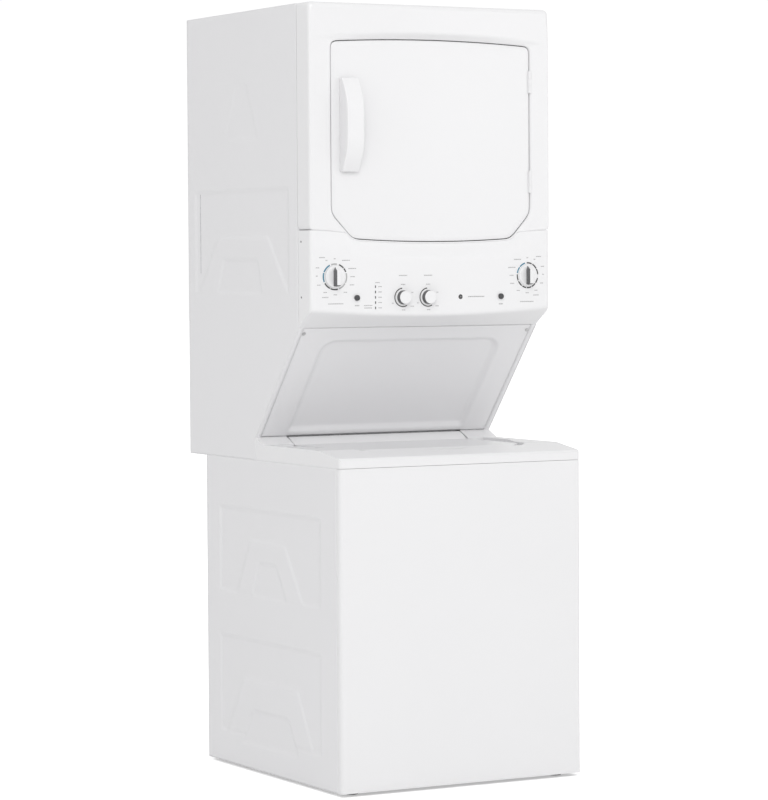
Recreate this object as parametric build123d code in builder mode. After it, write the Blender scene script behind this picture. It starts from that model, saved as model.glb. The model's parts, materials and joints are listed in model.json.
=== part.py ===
"""Stacked laundry centre: a top-load washer with a front-load dryer standing on it.

Millimetres. X runs to the right seen from the front, Y to the back and Z up. The origin is on the floor,
under the middle of the whole machine.
"""
import os
from math import atan2, cos, hypot, pi, radians, sin, sqrt

from build123d import *

os.makedirs("parts", exist_ok=True)

# ---- Driving dimensions -------------------------------------------------------------------------
width = 680.0                 # both cabinets
height = 1920.0               # floor to the dryer's top
washer_depth = 730.0          # washer cabinet, front to back
dryer_setback = 145.0         # dryer face behind the washer front
dryer_depth = 683.0           # dryer face to dryer back
foot_height = 8.0             # cabinet edge above the floor
washer_height = 793.0         # top of the washer cabinet, under the deck
deck_front_rise = 24.0        # deck thickness at its front edge
deck_rim_rise = 39.0          # deck rim above the washer cabinet
deck_back_rise = 57.0         # raised back corners of the deck
slant_top = 1127.0            # upper edge of the slanted access panel
slant_run = 239.0             # how far the slanted panel leans back
fascia_top = 1366.0           # seam between the control fascia and the dryer front
wrap = 64.0                   # dryer front's side returns
washer_wrap = 18.0            # washer front's side returns
sheet = 1.2                   # cabinet steel
moulding = 2.5                # plastic wall
face_bow = 12.0               # the fascia stands this much further forward at mid width than at its ends
seam = 0.8                    # gap between neighbouring panels
part_gap = 0.3                # gap between pieces that must not touch
running_gap = 0.05            # radial clearance of a shaft in its bore
corner_radius = 9.0           # vertical corners of the front panels
flange = 15.0                 # turned-in panel edges

# Washer works
tub_radius = 292.0
tub_wall = 4.0
tub_floor = 225.0
tub_height = 500.0
basket_radius = 262.0
basket_wall = 1.5
basket_floor = 262.0
basket_height = 420.0
balance_height = 36.0
balance_width = 30.0
agitator_radius = 150.0
agitator_height = 380.0
shaft_radius = 9.0
spin_tube_radius = 16.0
washer_pulley_radius = 95.0
washer_motor_pulley_radius = 24.0
washer_belt_height = 10.0
washer_motor_radius = 62.0
washer_motor_x = 175.0
washer_motor_y = 95.0

# Dryer works
drum_radius = 300.0
drum_length = 515.0
drum_center_z = 1585.0
blower_x = 120.0
blower_z = 1170.0
blower_radius = 78.0
dryer_motor_radius = 62.0
dryer_motor_length = 130.0
duct_radius = 50.8
duct_drop = 130.0
dryer_motor_pulley_radius = 20.0
belt_width = 16.0
belt_thickness = 3.0
back_recess = 42.0            # lower back panel, so that the exhaust collar stays inside the depth

# Dryer door
door_width = 563.0
door_height = 495.0
door_center_x = 2.5
door_bottom = 1339.0
door_top_radius = 25.0
door_crown = 9.0              # top edge higher in the middle than at its corners
door_sag = 7.5                # bottom edge lower in the middle than at its cut corners
door_cut_rise = 69.0          # height of the slanting cut at each lower corner
door_cut_run = 56.5           # width of that cut
door_cut_radius = 42.0
door_skin = 1.5
door_depth = 20.0
door_gap = 3.0
opening_width = 440.0
opening_height = 400.0
opening_radius = 130.0
plug_gap = 12.0
plug_depth = 20.0
handle_height = 228.0
handle_width = 46.0
handle_stand = 42.0
hinge_radius = 4.5
hinge_pin_radius = 2.0
hinge_leaf = 2.0
hinge_length = 56.0

# Controls
big_knob_radius = 24.0
big_knob_height = 20.0
small_knob_radius = 17.0
small_knob_height = 15.0
button_radius = 7.0
button_travel = 3.0

# ---- Places worked out from the dimensions ------------------------------------------------------
half_width = width / 2
depth = dryer_setback + dryer_depth
front_y = -depth / 2
washer_back_y = front_y + washer_depth
face_y = front_y + dryer_setback
back_y = depth / 2
side_front_y = face_y + wrap
slant_bottom_y = side_front_y + slant_run
deck_back_z = washer_height + deck_back_rise
rim_z = washer_height + deck_rim_rise
inner_half = half_width - sheet
basket_y = front_y + washer_depth / 2
drum_front_y = side_front_y + 21.0
drum_back_y = drum_front_y + drum_length
slant_length = hypot(slant_top - deck_back_z, slant_run)


# ---- Washer cabinet -----------------------------------------------------------------------------
base_top = foot_height + 46.0
base_rail = 48.0
base_plate = 3.0
foot_inset = 34.0
foot_radius = 19.0
foot_stem_radius = 5.0
foot_stem_hole = foot_stem_radius + part_gap
base_x = 2 * (inner_half - flange - part_gap)
base_y = washer_depth - 2 * (flange + sheet + part_gap)
foot_places = [(sx * (base_x / 2 - foot_inset), basket_y + sy * (base_y / 2 - foot_inset))
               for sx in (-1, 1) for sy in (-1, 1)]

with BuildPart() as washer_base:
    with BuildSketch(Plane.XY.offset(foot_height)):
        with Locations((0, basket_y)):
            Rectangle(base_x, base_y)
            Rectangle(base_x - 2 * base_rail, base_y - 2 * base_rail, mode=Mode.SUBTRACT)
        with Locations(*foot_places):
            Circle(foot_stem_hole, mode=Mode.SUBTRACT)
    extrude(amount=base_plate)
    with BuildSketch(Plane.XY.offset(foot_height + base_plate)):
        with Locations((0, basket_y)):
            Rectangle(base_x, base_y)
            Rectangle(base_x - 2 * base_plate, base_y - 2 * base_plate, mode=Mode.SUBTRACT)
    extrude(amount=base_top - foot_height - base_plate)
washer_base.part.label = "washer_base"
export_step(washer_base.part, "parts/washer_base.step")

with BuildPart() as leveling_feet:
    with BuildSketch(Plane.XY):
        with Locations(*foot_places):
            Circle(foot_radius)
    extrude(amount=foot_height)
    with BuildSketch(Plane.XY.offset(foot_height)):
        with Locations(*foot_places):
            Circle(foot_stem_radius)
    extrude(amount=24.0)
leveling_feet.part.label = "leveling_feet"
export_step(leveling_feet.part, "parts/leveling_feet.step")

with BuildPart() as washer_front_panel:
    with BuildSketch(Plane.XY.offset(foot_height)):
        with Locations((0, front_y + washer_wrap)):
            RectangleRounded(width, 2 * washer_wrap, corner_radius)
            RectangleRounded(width - 2 * sheet, 2 * (washer_wrap - sheet), corner_radius - sheet,
                             mode=Mode.SUBTRACT)
        with Locations((0, front_y + 1.5 * washer_wrap)):
            Rectangle(width, washer_wrap, mode=Mode.SUBTRACT)
    extrude(amount=washer_height - foot_height - seam)
    with BuildSketch(Plane.XY.offset(washer_height - seam - sheet)):
        with Locations((0, front_y + washer_wrap)):
            RectangleRounded(width, 2 * washer_wrap, corner_radius)
        with Locations((0, front_y + 1.5 * washer_wrap)):
            Rectangle(width, washer_wrap, mode=Mode.SUBTRACT)
    extrude(amount=sheet)
washer_front_panel.part.label = "washer_front_panel"
export_step(washer_front_panel.part, "parts/washer_front_panel.step")

# Stamped side panel: a sheet with two recessed fields, in each a raised arch with a recessed foot.
stamp_depth = 1.5
stamp_width = 550.0
stamp_height = 215.0
stamp_heights = (557.0, 212.0)
stamp_radius = 18.0
arch_foot = 170.0
arch_head = 100.0
arch_height = 128.0
side_start_y = front_y + washer_wrap + seam
side_length = washer_back_y - side_start_y


def arch_profile(foot, head, bottom, top):
    """A trapezium that stands on its wide foot, centred on the washer's depth."""
    return [(basket_y - foot, bottom), (basket_y - head, top),
            (basket_y + head, top), (basket_y + foot, bottom)]


def washer_side(side):
    """One washer side panel; side is -1 for the left one and +1 for the right one."""
    outer = Plane(origin=(side * half_width, 0, 0), x_dir=(0, 1, 0), z_dir=(side, 0, 0))
    sign = side
    with BuildPart() as panel:
        with BuildSketch(outer):
            with Locations((side_start_y + side_length / 2, sign * (foot_height + washer_height - seam) / 2)):
                Rectangle(side_length, washer_height - seam - foot_height)
        extrude(amount=-sheet)
        for z_middle in stamp_heights:
            with BuildSketch(outer):
                with Locations((basket_y, sign * z_middle)):
                    RectangleRounded(stamp_width + 2 * sheet, stamp_height + 2 * sheet, stamp_radius + sheet)
            extrude(amount=-(sheet + stamp_depth))
            with BuildSketch(outer):
                with Locations((basket_y, sign * z_middle)):
                    RectangleRounded(stamp_width, stamp_height, stamp_radius)
            extrude(amount=-stamp_depth, mode=Mode.SUBTRACT)
            low = z_middle - stamp_height / 2
            with BuildSketch(outer):
                with BuildLine():
                    arch = arch_profile(arch_foot, arch_head, low, low + arch_height)
                    Polyline(*[(y, sign * z) for y, z in arch], close=True)
                make_face()
            extrude(amount=-stamp_depth)
        with BuildSketch(Plane.XY.offset(foot_height)):
            with Locations((side * (half_width - flange / 2), washer_back_y - 1.5 * sheet)):
                Rectangle(flange, sheet)
        extrude(amount=washer_height - seam - foot_height)
    return panel


washer_side_left = washer_side(-1)
washer_side_left.part.label = "washer_side_left"
export_step(washer_side_left.part, "parts/washer_side_left.step")
washer_side_right = washer_side(1)
washer_side_right.part.label = "washer_side_right"
export_step(washer_side_right.part, "parts/washer_side_right.step")

# Back panel with the openings for the inlet valve, the drain outlet and the washer's own wiring.
valve_x = 215.0
valve_z = 690.0
valve_pitch = 76.0
valve_thread_radius = 13.2
drain_x = -225.0
drain_z = 640.0
drain_radius = 14.0
valve_places = [(valve_x - valve_pitch / 2, valve_z), (valve_x + valve_pitch / 2, valve_z)]
rear_plane = Plane(origin=(0, washer_back_y, 0), x_dir=(1, 0, 0), z_dir=(0, -1, 0))

with BuildPart() as washer_back_panel:
    with BuildSketch(rear_plane):
        with Locations((0, (foot_height + washer_height - seam) / 2)):
            Rectangle(2 * (inner_half - part_gap), washer_height - seam - foot_height)
        with Locations(*valve_places):
            Circle(valve_thread_radius + 1.0, mode=Mode.SUBTRACT)
        with Locations((drain_x, drain_z)):
            Circle(drain_radius + 1.0, mode=Mode.SUBTRACT)
    extrude(amount=sheet)
    with BuildSketch(rear_plane.offset(-4.0)):
        with Locations((0, 330.0)):
            RectangleRounded(420.0, 360.0, 20.0)
            RectangleRounded(400.0, 340.0, 12.0, mode=Mode.SUBTRACT)
    extrude(amount=4.0)
washer_back_panel.part.label = "washer_back_panel"
export_step(washer_back_panel.part, "parts/washer_back_panel.step")

# ---- Washer works -------------------------------------------------------------------------------
gearcase_radius = 72.0
gearcase_height = 96.0
gearcase_bottom = tub_floor - gearcase_height
pulley_top = gearcase_bottom - 8.0
pulley_height = 16.0
hub_hole = spin_tube_radius + 4.0
tub_top = tub_floor + tub_height
tub_mouth_radius = tub_radius - 46.0
basket_top = basket_floor + basket_height

with BuildPart() as outer_tub:
    with BuildSketch(Plane.XZ.offset(-basket_y)):
        with BuildLine():
            Polyline(
                (hub_hole, tub_floor), (tub_radius, tub_floor), (tub_radius, tub_top),
                (tub_mouth_radius, tub_top), (tub_mouth_radius, tub_top - tub_wall),
                (tub_radius - tub_wall, tub_top - tub_wall), (tub_radius - tub_wall, tub_floor + tub_wall),
                (hub_hole, tub_floor + tub_wall), close=True)
        make_face()
    revolve(axis=Axis((0, basket_y, 0), (0, 0, 1)))
    with BuildSketch(Plane.XY.offset(tub_floor + 60.0)):
        with Locations((0, basket_y)):
            Circle(tub_radius + 7.0)
            Circle(tub_radius - part_gap, mode=Mode.SUBTRACT)
    extrude(amount=10.0)
outer_tub.part.label = "outer_tub"
export_step(outer_tub.part, "parts/outer_tub.step")

with BuildPart() as wash_basket:
    with BuildSketch(Plane.XZ.offset(-basket_y)):
        with BuildLine():
            Polyline(
                (shaft_radius + running_gap, gearcase_bottom + 20.0),
                (spin_tube_radius, gearcase_bottom + 20.0), (spin_tube_radius, basket_floor),
                (basket_radius - 14.0, basket_floor), (basket_radius, basket_floor + 14.0),
                (basket_radius, basket_top), (basket_radius - basket_wall, basket_top),
                (basket_radius - basket_wall, basket_floor + 14.0 + basket_wall),
                (basket_radius - 14.0 - basket_wall, basket_floor + basket_wall),
                (spin_tube_radius + 10.0, basket_floor + basket_wall),
                (spin_tube_radius + 10.0, basket_floor + 12.0),
                (shaft_radius + running_gap, basket_floor + 12.0), close=True)
        make_face()
    revolve(axis=Axis((0, basket_y, 0), (0, 0, 1)))
wash_basket.part.label = "wash_basket"
export_step(wash_basket.part, "parts/wash_basket.step")

with BuildPart() as balance_ring:
    with BuildSketch(Plane.XY.offset(basket_top)):
        with Locations((0, basket_y)):
            Circle(basket_radius)
            Circle(basket_radius - balance_width, mode=Mode.SUBTRACT)
    extrude(amount=balance_height)
    fillet(balance_ring.edges().group_by(Axis.Z)[-1], radius=10.0)
balance_ring.part.label = "balance_ring"
export_step(balance_ring.part, "parts/balance_ring.step")

agitator_bottom = basket_floor + 16.0
agitator_top = agitator_bottom + agitator_height
agitator_axis = Axis((0, basket_y, 0), (0, 0, 1))
fin_count = 4

with BuildPart() as agitator:
    with BuildSketch(Plane.XZ.offset(-basket_y)):
        with BuildLine():
            skirt = Line((agitator_radius, agitator_bottom), (agitator_radius, agitator_bottom + 10.0))
            flare = Spline(skirt @ 1, (agitator_radius * 0.62, agitator_bottom + 46.0), (52.0, agitator_top - 90.0))
            Polyline(
                flare @ 1, (50.0, agitator_top), (shaft_radius, agitator_top),
                (shaft_radius, agitator_bottom), skirt @ 0)
        make_face()
    revolve(axis=agitator_axis)
    for number in range(fin_count):
        fin_plane = Plane(origin=(0, basket_y, 0), x_dir=(cos(2 * pi * number / fin_count),
                          sin(2 * pi * number / fin_count), 0),
                          z_dir=(sin(2 * pi * number / fin_count), -cos(2 * pi * number / fin_count), 0))
        with BuildSketch(fin_plane):
            with BuildLine():
                Polyline(
                    (40.0, agitator_bottom), (agitator_radius, agitator_bottom),
                    (agitator_radius - 8.0, agitator_bottom + 60.0), (70.0, agitator_top - 120.0),
                    (40.0, agitator_top - 110.0), close=True)
            make_face()
        extrude(amount=3.0, both=True)
agitator.part.label = "agitator"
export_step(agitator.part, "parts/agitator.step")

with BuildPart() as drive_shaft:
    with BuildSketch(Plane.XY.offset(pulley_top - pulley_height)):
        with Locations((0, basket_y)):
            Circle(shaft_radius)
    extrude(amount=agitator_top - pulley_top + pulley_height)
drive_shaft.part.label = "drive_shaft"
export_step(drive_shaft.part, "parts/drive_shaft.step")

with BuildPart() as gearcase:
    with BuildSketch(Plane.XY.offset(gearcase_bottom)):
        with Locations((0, basket_y)):
            Circle(gearcase_radius - 20.0)
    extrude(amount=20.0)
    with BuildSketch(Plane.XY.offset(gearcase_bottom + 20.0)):
        with Locations((0, basket_y)):
            Circle(gearcase_radius)
    extrude(amount=gearcase_height - 20.0)
    with BuildSketch(Plane.XY.offset(gearcase_bottom)):
        with Locations((0, basket_y)):
            Circle(spin_tube_radius + running_gap)
    extrude(amount=gearcase_height, mode=Mode.SUBTRACT)
gearcase.part.label = "gearcase"
export_step(gearcase.part, "parts/gearcase.step")

pulley_pairs = {
    "washer_pulley": (0.0, basket_y, washer_pulley_radius, shaft_radius),
    "washer_motor_pulley": (washer_motor_x, washer_motor_y, washer_motor_pulley_radius, 0.0),
}


def belt_pulley(x, y, radius, bore):
    """A grooved pulley on a vertical axis, its groove as high as the belt."""
    with BuildPart() as pulley:
        with BuildSketch(Plane.XY.offset(pulley_top - pulley_height)):
            with Locations((x, y)):
                Circle(radius + 4.0)
                if bore:
                    Circle(bore, mode=Mode.SUBTRACT)
        extrude(amount=pulley_height)
        with BuildSketch(Plane.XY.offset(pulley_top - pulley_height / 2 - washer_belt_height / 2 - part_gap)):
            with Locations((x, y)):
                Circle(radius + 5.0)
                Circle(radius, mode=Mode.SUBTRACT)
        extrude(amount=washer_belt_height + 2 * part_gap, mode=Mode.SUBTRACT)
    return pulley


washer_pulley = belt_pulley(*pulley_pairs["washer_pulley"])
washer_pulley.part.label = "washer_pulley"
export_step(washer_pulley.part, "parts/washer_pulley.step")
washer_motor_pulley = belt_pulley(*pulley_pairs["washer_motor_pulley"])
washer_motor_pulley.part.label = "washer_motor_pulley"
export_step(washer_motor_pulley.part, "parts/washer_motor_pulley.step")

washer_belt_inner = part_gap
washer_belt_outer = 3.3


def belt_outline(x1, y1, r1, x2, y2, r2):
    """The hull of two circles: each circle and the four-sided piece between their outer tangents."""
    span = hypot(x2 - x1, y2 - y1)
    lean = atan2(y2 - y1, x2 - x1)
    spread = pi / 2 - atan2(r1 - r2, sqrt(span ** 2 - (r1 - r2) ** 2))
    corners = [(x1 + r1 * cos(lean + spread), y1 + r1 * sin(lean + spread)),
               (x2 + r2 * cos(lean + spread), y2 + r2 * sin(lean + spread)),
               (x2 + r2 * cos(lean - spread), y2 + r2 * sin(lean - spread)),
               (x1 + r1 * cos(lean - spread), y1 + r1 * sin(lean - spread))]
    return corners


def belt_loop(plane, thickness, first, second, inside, outside):
    """A flat belt round two pulleys, each given as x, y and radius."""
    with BuildPart() as loop:
        for extra, mode in ((outside, Mode.ADD), (inside, Mode.SUBTRACT)):
            with BuildSketch(plane):
                with Locations((first[0], first[1])):
                    Circle(first[2] + extra)
                with Locations((second[0], second[1])):
                    Circle(second[2] + extra)
                with BuildLine():
                    Polyline(*belt_outline(first[0], first[1], first[2] + extra,
                                           second[0], second[1], second[2] + extra), close=True)
                make_face()
            extrude(amount=thickness, mode=mode)
    return loop


washer_belt = belt_loop(
    Plane.XY.offset(pulley_top - pulley_height / 2 - washer_belt_height / 2), washer_belt_height,
    (0.0, basket_y, washer_pulley_radius), (washer_motor_x, washer_motor_y, washer_motor_pulley_radius),
    washer_belt_inner, washer_belt_outer)
washer_belt.part.label = "washer_belt"
export_step(washer_belt.part, "parts/washer_belt.step")

with BuildPart() as washer_motor:
    with BuildSketch(Plane.XY.offset(pulley_top + part_gap)):
        with Locations((washer_motor_x, washer_motor_y)):
            Circle(washer_motor_radius)
    extrude(amount=tub_floor - pulley_top - part_gap)
washer_motor.part.label = "washer_motor"
export_step(washer_motor.part, "parts/washer_motor.step")

rod_radius = 4.0
rod_angle_places = [(sx * 262.0, basket_y + sy * 288.0) for sx in (-1, 1) for sy in (-1, 1)]
rod_bottom = tub_floor + 20.0
spring_radius = 14.0
with BuildPart() as suspension_rods:
    with BuildSketch(Plane.XY.offset(rod_bottom)):
        with Locations(*rod_angle_places):
            Circle(spring_radius)
            Circle(rod_radius, mode=Mode.SUBTRACT)
    extrude(amount=74.0)
    with BuildSketch(Plane.XY.offset(rod_bottom - 6.0)):
        with Locations(*rod_angle_places):
            Circle(rod_radius)
    extrude(amount=washer_height - 10.0 - rod_bottom + 6.0)
suspension_rods.part.label = "suspension_rods"
export_step(suspension_rods.part, "parts/suspension_rods.step")

pump_radius = 42.0
pump_x = -150.0
pump_y = front_y + 120.0
with BuildPart() as drain_pump:
    with BuildSketch(Plane.XY.offset(base_top + 4.0)):
        with Locations((pump_x, pump_y)):
            Circle(pump_radius)
            Rectangle(2 * pump_radius, 40.0)
    extrude(amount=60.0)
    with BuildSketch(Plane.XY.offset(base_top + 64.0)):
        with Locations((pump_x, pump_y)):
            Circle(28.0)
    extrude(amount=70.0)
    with BuildSketch(Plane.YZ.offset(pump_x - pump_radius - 40.0)):
        with Locations((pump_y, base_top + 34.0)):
            Circle(12.0)
            Circle(9.0, mode=Mode.SUBTRACT)
    extrude(amount=44.0)
drain_pump.part.label = "drain_pump"
export_step(drain_pump.part, "parts/drain_pump.step")

# Water inlet valve: two threaded inlets stick out of the back panel under the dryer's overhang.
valve_body = 60.0
valve_stub = 16.0
with BuildPart() as inlet_valve:
    with BuildSketch(Plane.XZ.offset(-(washer_back_y - sheet - part_gap - valve_body))):
        with Locations((valve_x, valve_z)):
            RectangleRounded(valve_pitch + 50.0, 52.0, 8.0)
    extrude(amount=-valve_body)
    with BuildSketch(Plane.XZ.offset(-(washer_back_y - sheet - part_gap))):
        with Locations(*valve_places):
            Circle(valve_thread_radius)
    extrude(amount=-(valve_stub + sheet + part_gap))
    with BuildSketch(Plane.XZ.offset(-(washer_back_y - 20.0))):
        with Locations(*valve_places):
            Circle(8.5)
    extrude(amount=-(valve_stub + 20.0), mode=Mode.SUBTRACT)
inlet_valve.part.label = "inlet_valve"
export_step(inlet_valve.part, "parts/inlet_valve.step")

with BuildPart() as drain_outlet:
    with BuildSketch(Plane.XZ.offset(-(washer_back_y - 50.0))):
        with Locations((drain_x, drain_z)):
            Circle(drain_radius)
    extrude(amount=-(50.0 + 30.0))
    with BuildSketch(Plane.XZ.offset(-(washer_back_y - sheet - part_gap))):
        with Locations((drain_x, drain_z)):
            Circle(drain_radius + 10.0)
    extrude(amount=4.0)
    with BuildSketch(Plane.XZ.offset(-(washer_back_y - 50.0))):
        with Locations((drain_x, drain_z)):
            Circle(drain_radius - 3.0)
    extrude(amount=-80.0, mode=Mode.SUBTRACT)
drain_outlet.part.label = "drain_outlet"
export_step(drain_outlet.part, "parts/drain_outlet.step")

# ---- Top deck and lid ---------------------------------------------------------------------------
deck_wall = 3.0
deck_hollow = washer_height + 13.0
deck_corner_width = 86.0
deck_corner_run = 42.0
rim_slope_run = 110.0
lid_front_y = front_y + 95.0
lid_back_y = slant_bottom_y - 4.0
lid_half = half_width - deck_corner_width - 4.0
lid_top = rim_z - 2.0
lid_bottom = lid_top - 14.0
lid_wall = 2.5
lid_radius = 80.0
lip_top = deck_back_z - 2.0
pocket_floor = lid_bottom - 4.0
pocket_back_half = half_width - 40.0
pocket_front_half = lid_half + 6.0
lid_hinge_y = slant_bottom_y - 13.0
lid_hinge_z = washer_height + 33.0
lid_pin_radius = 4.0
lid_pin_length = 14.0
scoop_half = 75.0
load_half = 200.0
load_front_y = lid_front_y + 25.0
load_back_y = slant_bottom_y - 42.0

with BuildPart() as washer_deck:
    with BuildSketch(Plane.YZ):
        with BuildLine():
            Polyline(
                (front_y, washer_height), (front_y, washer_height + deck_front_rise - 6.0),
                (front_y + 7.0, washer_height + deck_front_rise), (front_y + rim_slope_run, rim_z),
                (slant_bottom_y - deck_corner_run, rim_z), (slant_bottom_y, deck_back_z),
                (slant_bottom_y, washer_height), close=True)
        make_face()
    extrude(amount=half_width, both=True)
    fillet(washer_deck.edges().filter_by(Axis.Z).group_by(Axis.Y)[0], radius=corner_radius)
    with BuildSketch(Plane.XY.offset(washer_height)):
        with Locations((0, (front_y + slant_bottom_y) / 2)):
            Rectangle(width - 2 * deck_wall, slant_bottom_y - front_y - 2 * deck_wall)
    extrude(amount=deck_hollow - washer_height, mode=Mode.SUBTRACT)
    # Pocket for the lid: wide beside the lid's back half, narrower towards its front.
    with BuildSketch(Plane.XY.offset(pocket_floor)):
        with BuildLine():
            Polyline(
                (-lid_half - 4.0, slant_bottom_y), (-lid_half - 4.0, slant_bottom_y - deck_corner_run),
                (-pocket_back_half, slant_bottom_y - deck_corner_run), (-pocket_back_half, basket_y - 80.0),
                (-pocket_front_half, basket_y - 190.0), (-pocket_front_half, lid_front_y + 30.0),
                (-pocket_front_half + 30.0, lid_front_y - 6.0), (pocket_front_half - 30.0, lid_front_y - 6.0),
                (pocket_front_half, lid_front_y + 30.0), (pocket_front_half, basket_y - 190.0),
                (pocket_back_half, basket_y - 80.0), (pocket_back_half, slant_bottom_y - deck_corner_run),
                (lid_half + 4.0, slant_bottom_y - deck_corner_run), (lid_half + 4.0, slant_bottom_y),
                close=True)
        make_face()
    extrude(amount=deck_back_z - pocket_floor + 1.0, mode=Mode.SUBTRACT)
    # Finger scoop in front of the lid.
    with BuildSketch(Plane.XY.offset(pocket_floor)):
        with Locations((0, lid_front_y - 6.0)):
            Ellipse(scoop_half, 16.0)
    extrude(amount=deck_back_z - pocket_floor, mode=Mode.SUBTRACT)
    # Loading opening with a collar that reaches down over the tub.
    with BuildSketch(Plane.XY.offset(washer_height - 50.0)):
        with Locations((0, (load_front_y + load_back_y) / 2)):
            RectangleRounded(2 * (load_half + deck_wall), load_back_y - load_front_y + 2 * deck_wall, 110.0)
    extrude(amount=pocket_floor - washer_height + 50.0)
    with BuildSketch(Plane.XY.offset(washer_height - 60.0)):
        with Locations((0, (load_front_y + load_back_y) / 2)):
            RectangleRounded(2 * load_half, load_back_y - load_front_y, 110.0 - deck_wall)
    extrude(amount=120.0, mode=Mode.SUBTRACT)
    # Bores for the lid's hinge pins in the raised back corners.
    with BuildSketch(Plane.YZ.offset(-lid_half - lid_pin_length - 2.0)):
        with Locations((lid_hinge_y, lid_hinge_z)):
            Circle(lid_pin_radius + running_gap)
    extrude(amount=2 * (lid_half + lid_pin_length + 2.0), mode=Mode.SUBTRACT)
    # Flat plate behind the lid, under the dryer.
    with BuildSketch(Plane.XY.offset(washer_height)):
        with Locations((0, (slant_bottom_y - deck_wall + washer_back_y) / 2)):
            Rectangle(2 * (inner_half - part_gap), washer_back_y - slant_bottom_y + deck_wall)
    extrude(amount=deck_wall)
washer_deck.part.label = "washer_deck"
export_step(washer_deck.part, "parts/washer_deck.step")

with BuildPart() as washer_lid:
    with BuildSketch(Plane.YZ):
        with BuildLine():
            Polyline(
                (lid_front_y, lid_bottom), (lid_front_y, lid_top - 3.0), (lid_front_y + 20.0, lid_top),
                (lid_back_y - 36.0, lid_top), (lid_back_y - 12.0, lip_top - 5.0), (lid_back_y, lip_top),
                (lid_back_y, lid_bottom), close=True)
        make_face()
    extrude(amount=lid_half, both=True)
    fillet(washer_lid.edges().filter_by(Axis.Z).group_by(Axis.Y)[0], radius=lid_radius)
    with BuildSketch(Plane.YZ):
        with BuildLine():
            Polyline(
                (lid_front_y + 24.0, lid_bottom), (lid_front_y + 24.0, lid_top - lid_wall),
                (lid_back_y - 36.0, lid_top - lid_wall), (lid_back_y - 12.0, lip_top - 5.0 - lid_wall),
                (lid_back_y - lid_wall, lip_top - 8.0), (lid_back_y - lid_wall, lid_bottom), close=True)
        make_face()
    extrude(amount=lid_half - 24.0, both=True, mode=Mode.SUBTRACT)
    for side in (-1, 1):
        with BuildSketch(Plane.YZ.offset(side * lid_half)):
            with Locations((lid_hinge_y, lid_hinge_z)):
                Circle(lid_pin_radius)
        extrude(amount=side * lid_pin_length)
washer_lid.part.label = "washer_lid"
export_step(washer_lid.part, "parts/washer_lid.step")

# ---- Dryer cabinet ------------------------------------------------------------------------------
dryer_side_bottom = washer_height
top_seam_z = height - sheet
lower_back_z = 1150.0
recessed_back_y = back_y - back_recess


def facing(y):
    """A plane that faces the front of the machine at the given depth; its Y is the machine's Z."""
    return Plane.XZ.offset(-y)


def dryer_side(side):
    """One dryer side panel: cut back to the slanted access panel at its lower front."""
    outer = Plane(origin=(side * half_width, 0, 0), x_dir=(0, 1, 0), z_dir=(side, 0, 0))
    outline = [(side_front_y, top_seam_z), (side_front_y, slant_top), (slant_bottom_y, deck_back_z),
               (slant_bottom_y, dryer_side_bottom), (back_y, dryer_side_bottom), (back_y, top_seam_z)]
    with BuildPart() as panel:
        with BuildSketch(outer):
            with BuildLine():
                Polyline(*[(y, side * z) for y, z in outline], close=True)
            make_face()
        extrude(amount=-sheet)
        with BuildSketch(Plane.XY.offset(lower_back_z + sheet + part_gap)):
            with Locations((side * (half_width - flange / 2), back_y - 1.5 * sheet)):
                Rectangle(flange, sheet)
        extrude(amount=top_seam_z - lower_back_z - sheet - part_gap)
        with BuildSketch(Plane.XY.offset(dryer_side_bottom)):
            with Locations((side * (half_width - flange / 2), recessed_back_y - 1.5 * sheet)):
                Rectangle(flange, sheet)
        extrude(amount=lower_back_z - sheet - dryer_side_bottom)
    return panel


dryer_side_left = dryer_side(-1)
dryer_side_left.part.label = "dryer_side_left"
export_step(dryer_side_left.part, "parts/dryer_side_left.step")
dryer_side_right = dryer_side(1)
dryer_side_right.part.label = "dryer_side_right"
export_step(dryer_side_right.part, "parts/dryer_side_right.step")

with BuildPart() as dryer_top:
    with BuildSketch(Plane.XY.offset(top_seam_z)):
        with Locations((0, (side_front_y + seam + back_y) / 2)):
            Rectangle(width, back_y - side_front_y - seam)
    extrude(amount=sheet)
    with BuildSketch(Plane.XY.offset(top_seam_z)):
        with Locations((0, (side_front_y + seam + back_y) / 2)):
            Rectangle(2 * (inner_half - part_gap), back_y - side_front_y - seam - 8 * sheet)
            Rectangle(2 * (inner_half - part_gap - sheet), back_y - side_front_y - seam - 10 * sheet,
                      mode=Mode.SUBTRACT)
    extrude(amount=-12.0)
dryer_top.part.label = "dryer_top"
export_step(dryer_top.part, "parts/dryer_top.step")

# Back panel in two levels: flush at the top, set in at the bottom round the exhaust collar.
duct_x = blower_x
duct_z = blower_z - duct_drop
terminal_x = -190.0
terminal_z = 1040.0
gland_radius = 14.0
back_half = inner_half - part_gap
back_bottom = dryer_side_bottom + 6.0
with BuildPart() as dryer_back_panel:
    with BuildSketch(facing(back_y - sheet)):
        with Locations((0, (lower_back_z + top_seam_z) / 2)):
            Rectangle(2 * back_half, top_seam_z - part_gap - lower_back_z)
        with GridLocations(26.0, 40.0, 9, 1):
            with Locations((0, 1800.0)):
                SlotOverall(90.0, 9.0, rotation=90, mode=Mode.SUBTRACT)
    extrude(amount=-sheet)
    with BuildSketch(Plane.XY.offset(lower_back_z)):
        with Locations((0, (recessed_back_y - sheet + back_y) / 2)):
            Rectangle(2 * back_half, back_recess + sheet)
    extrude(amount=sheet)
    with BuildSketch(facing(recessed_back_y - sheet)):
        with Locations((0, (back_bottom + lower_back_z) / 2)):
            Rectangle(2 * back_half, lower_back_z - back_bottom)
        with Locations((duct_x, duct_z)):
            Circle(duct_radius + 2.0, mode=Mode.SUBTRACT)
        with Locations((terminal_x, terminal_z - 25.0)):
            Circle(gland_radius + part_gap, mode=Mode.SUBTRACT)
    extrude(amount=-sheet)
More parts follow.
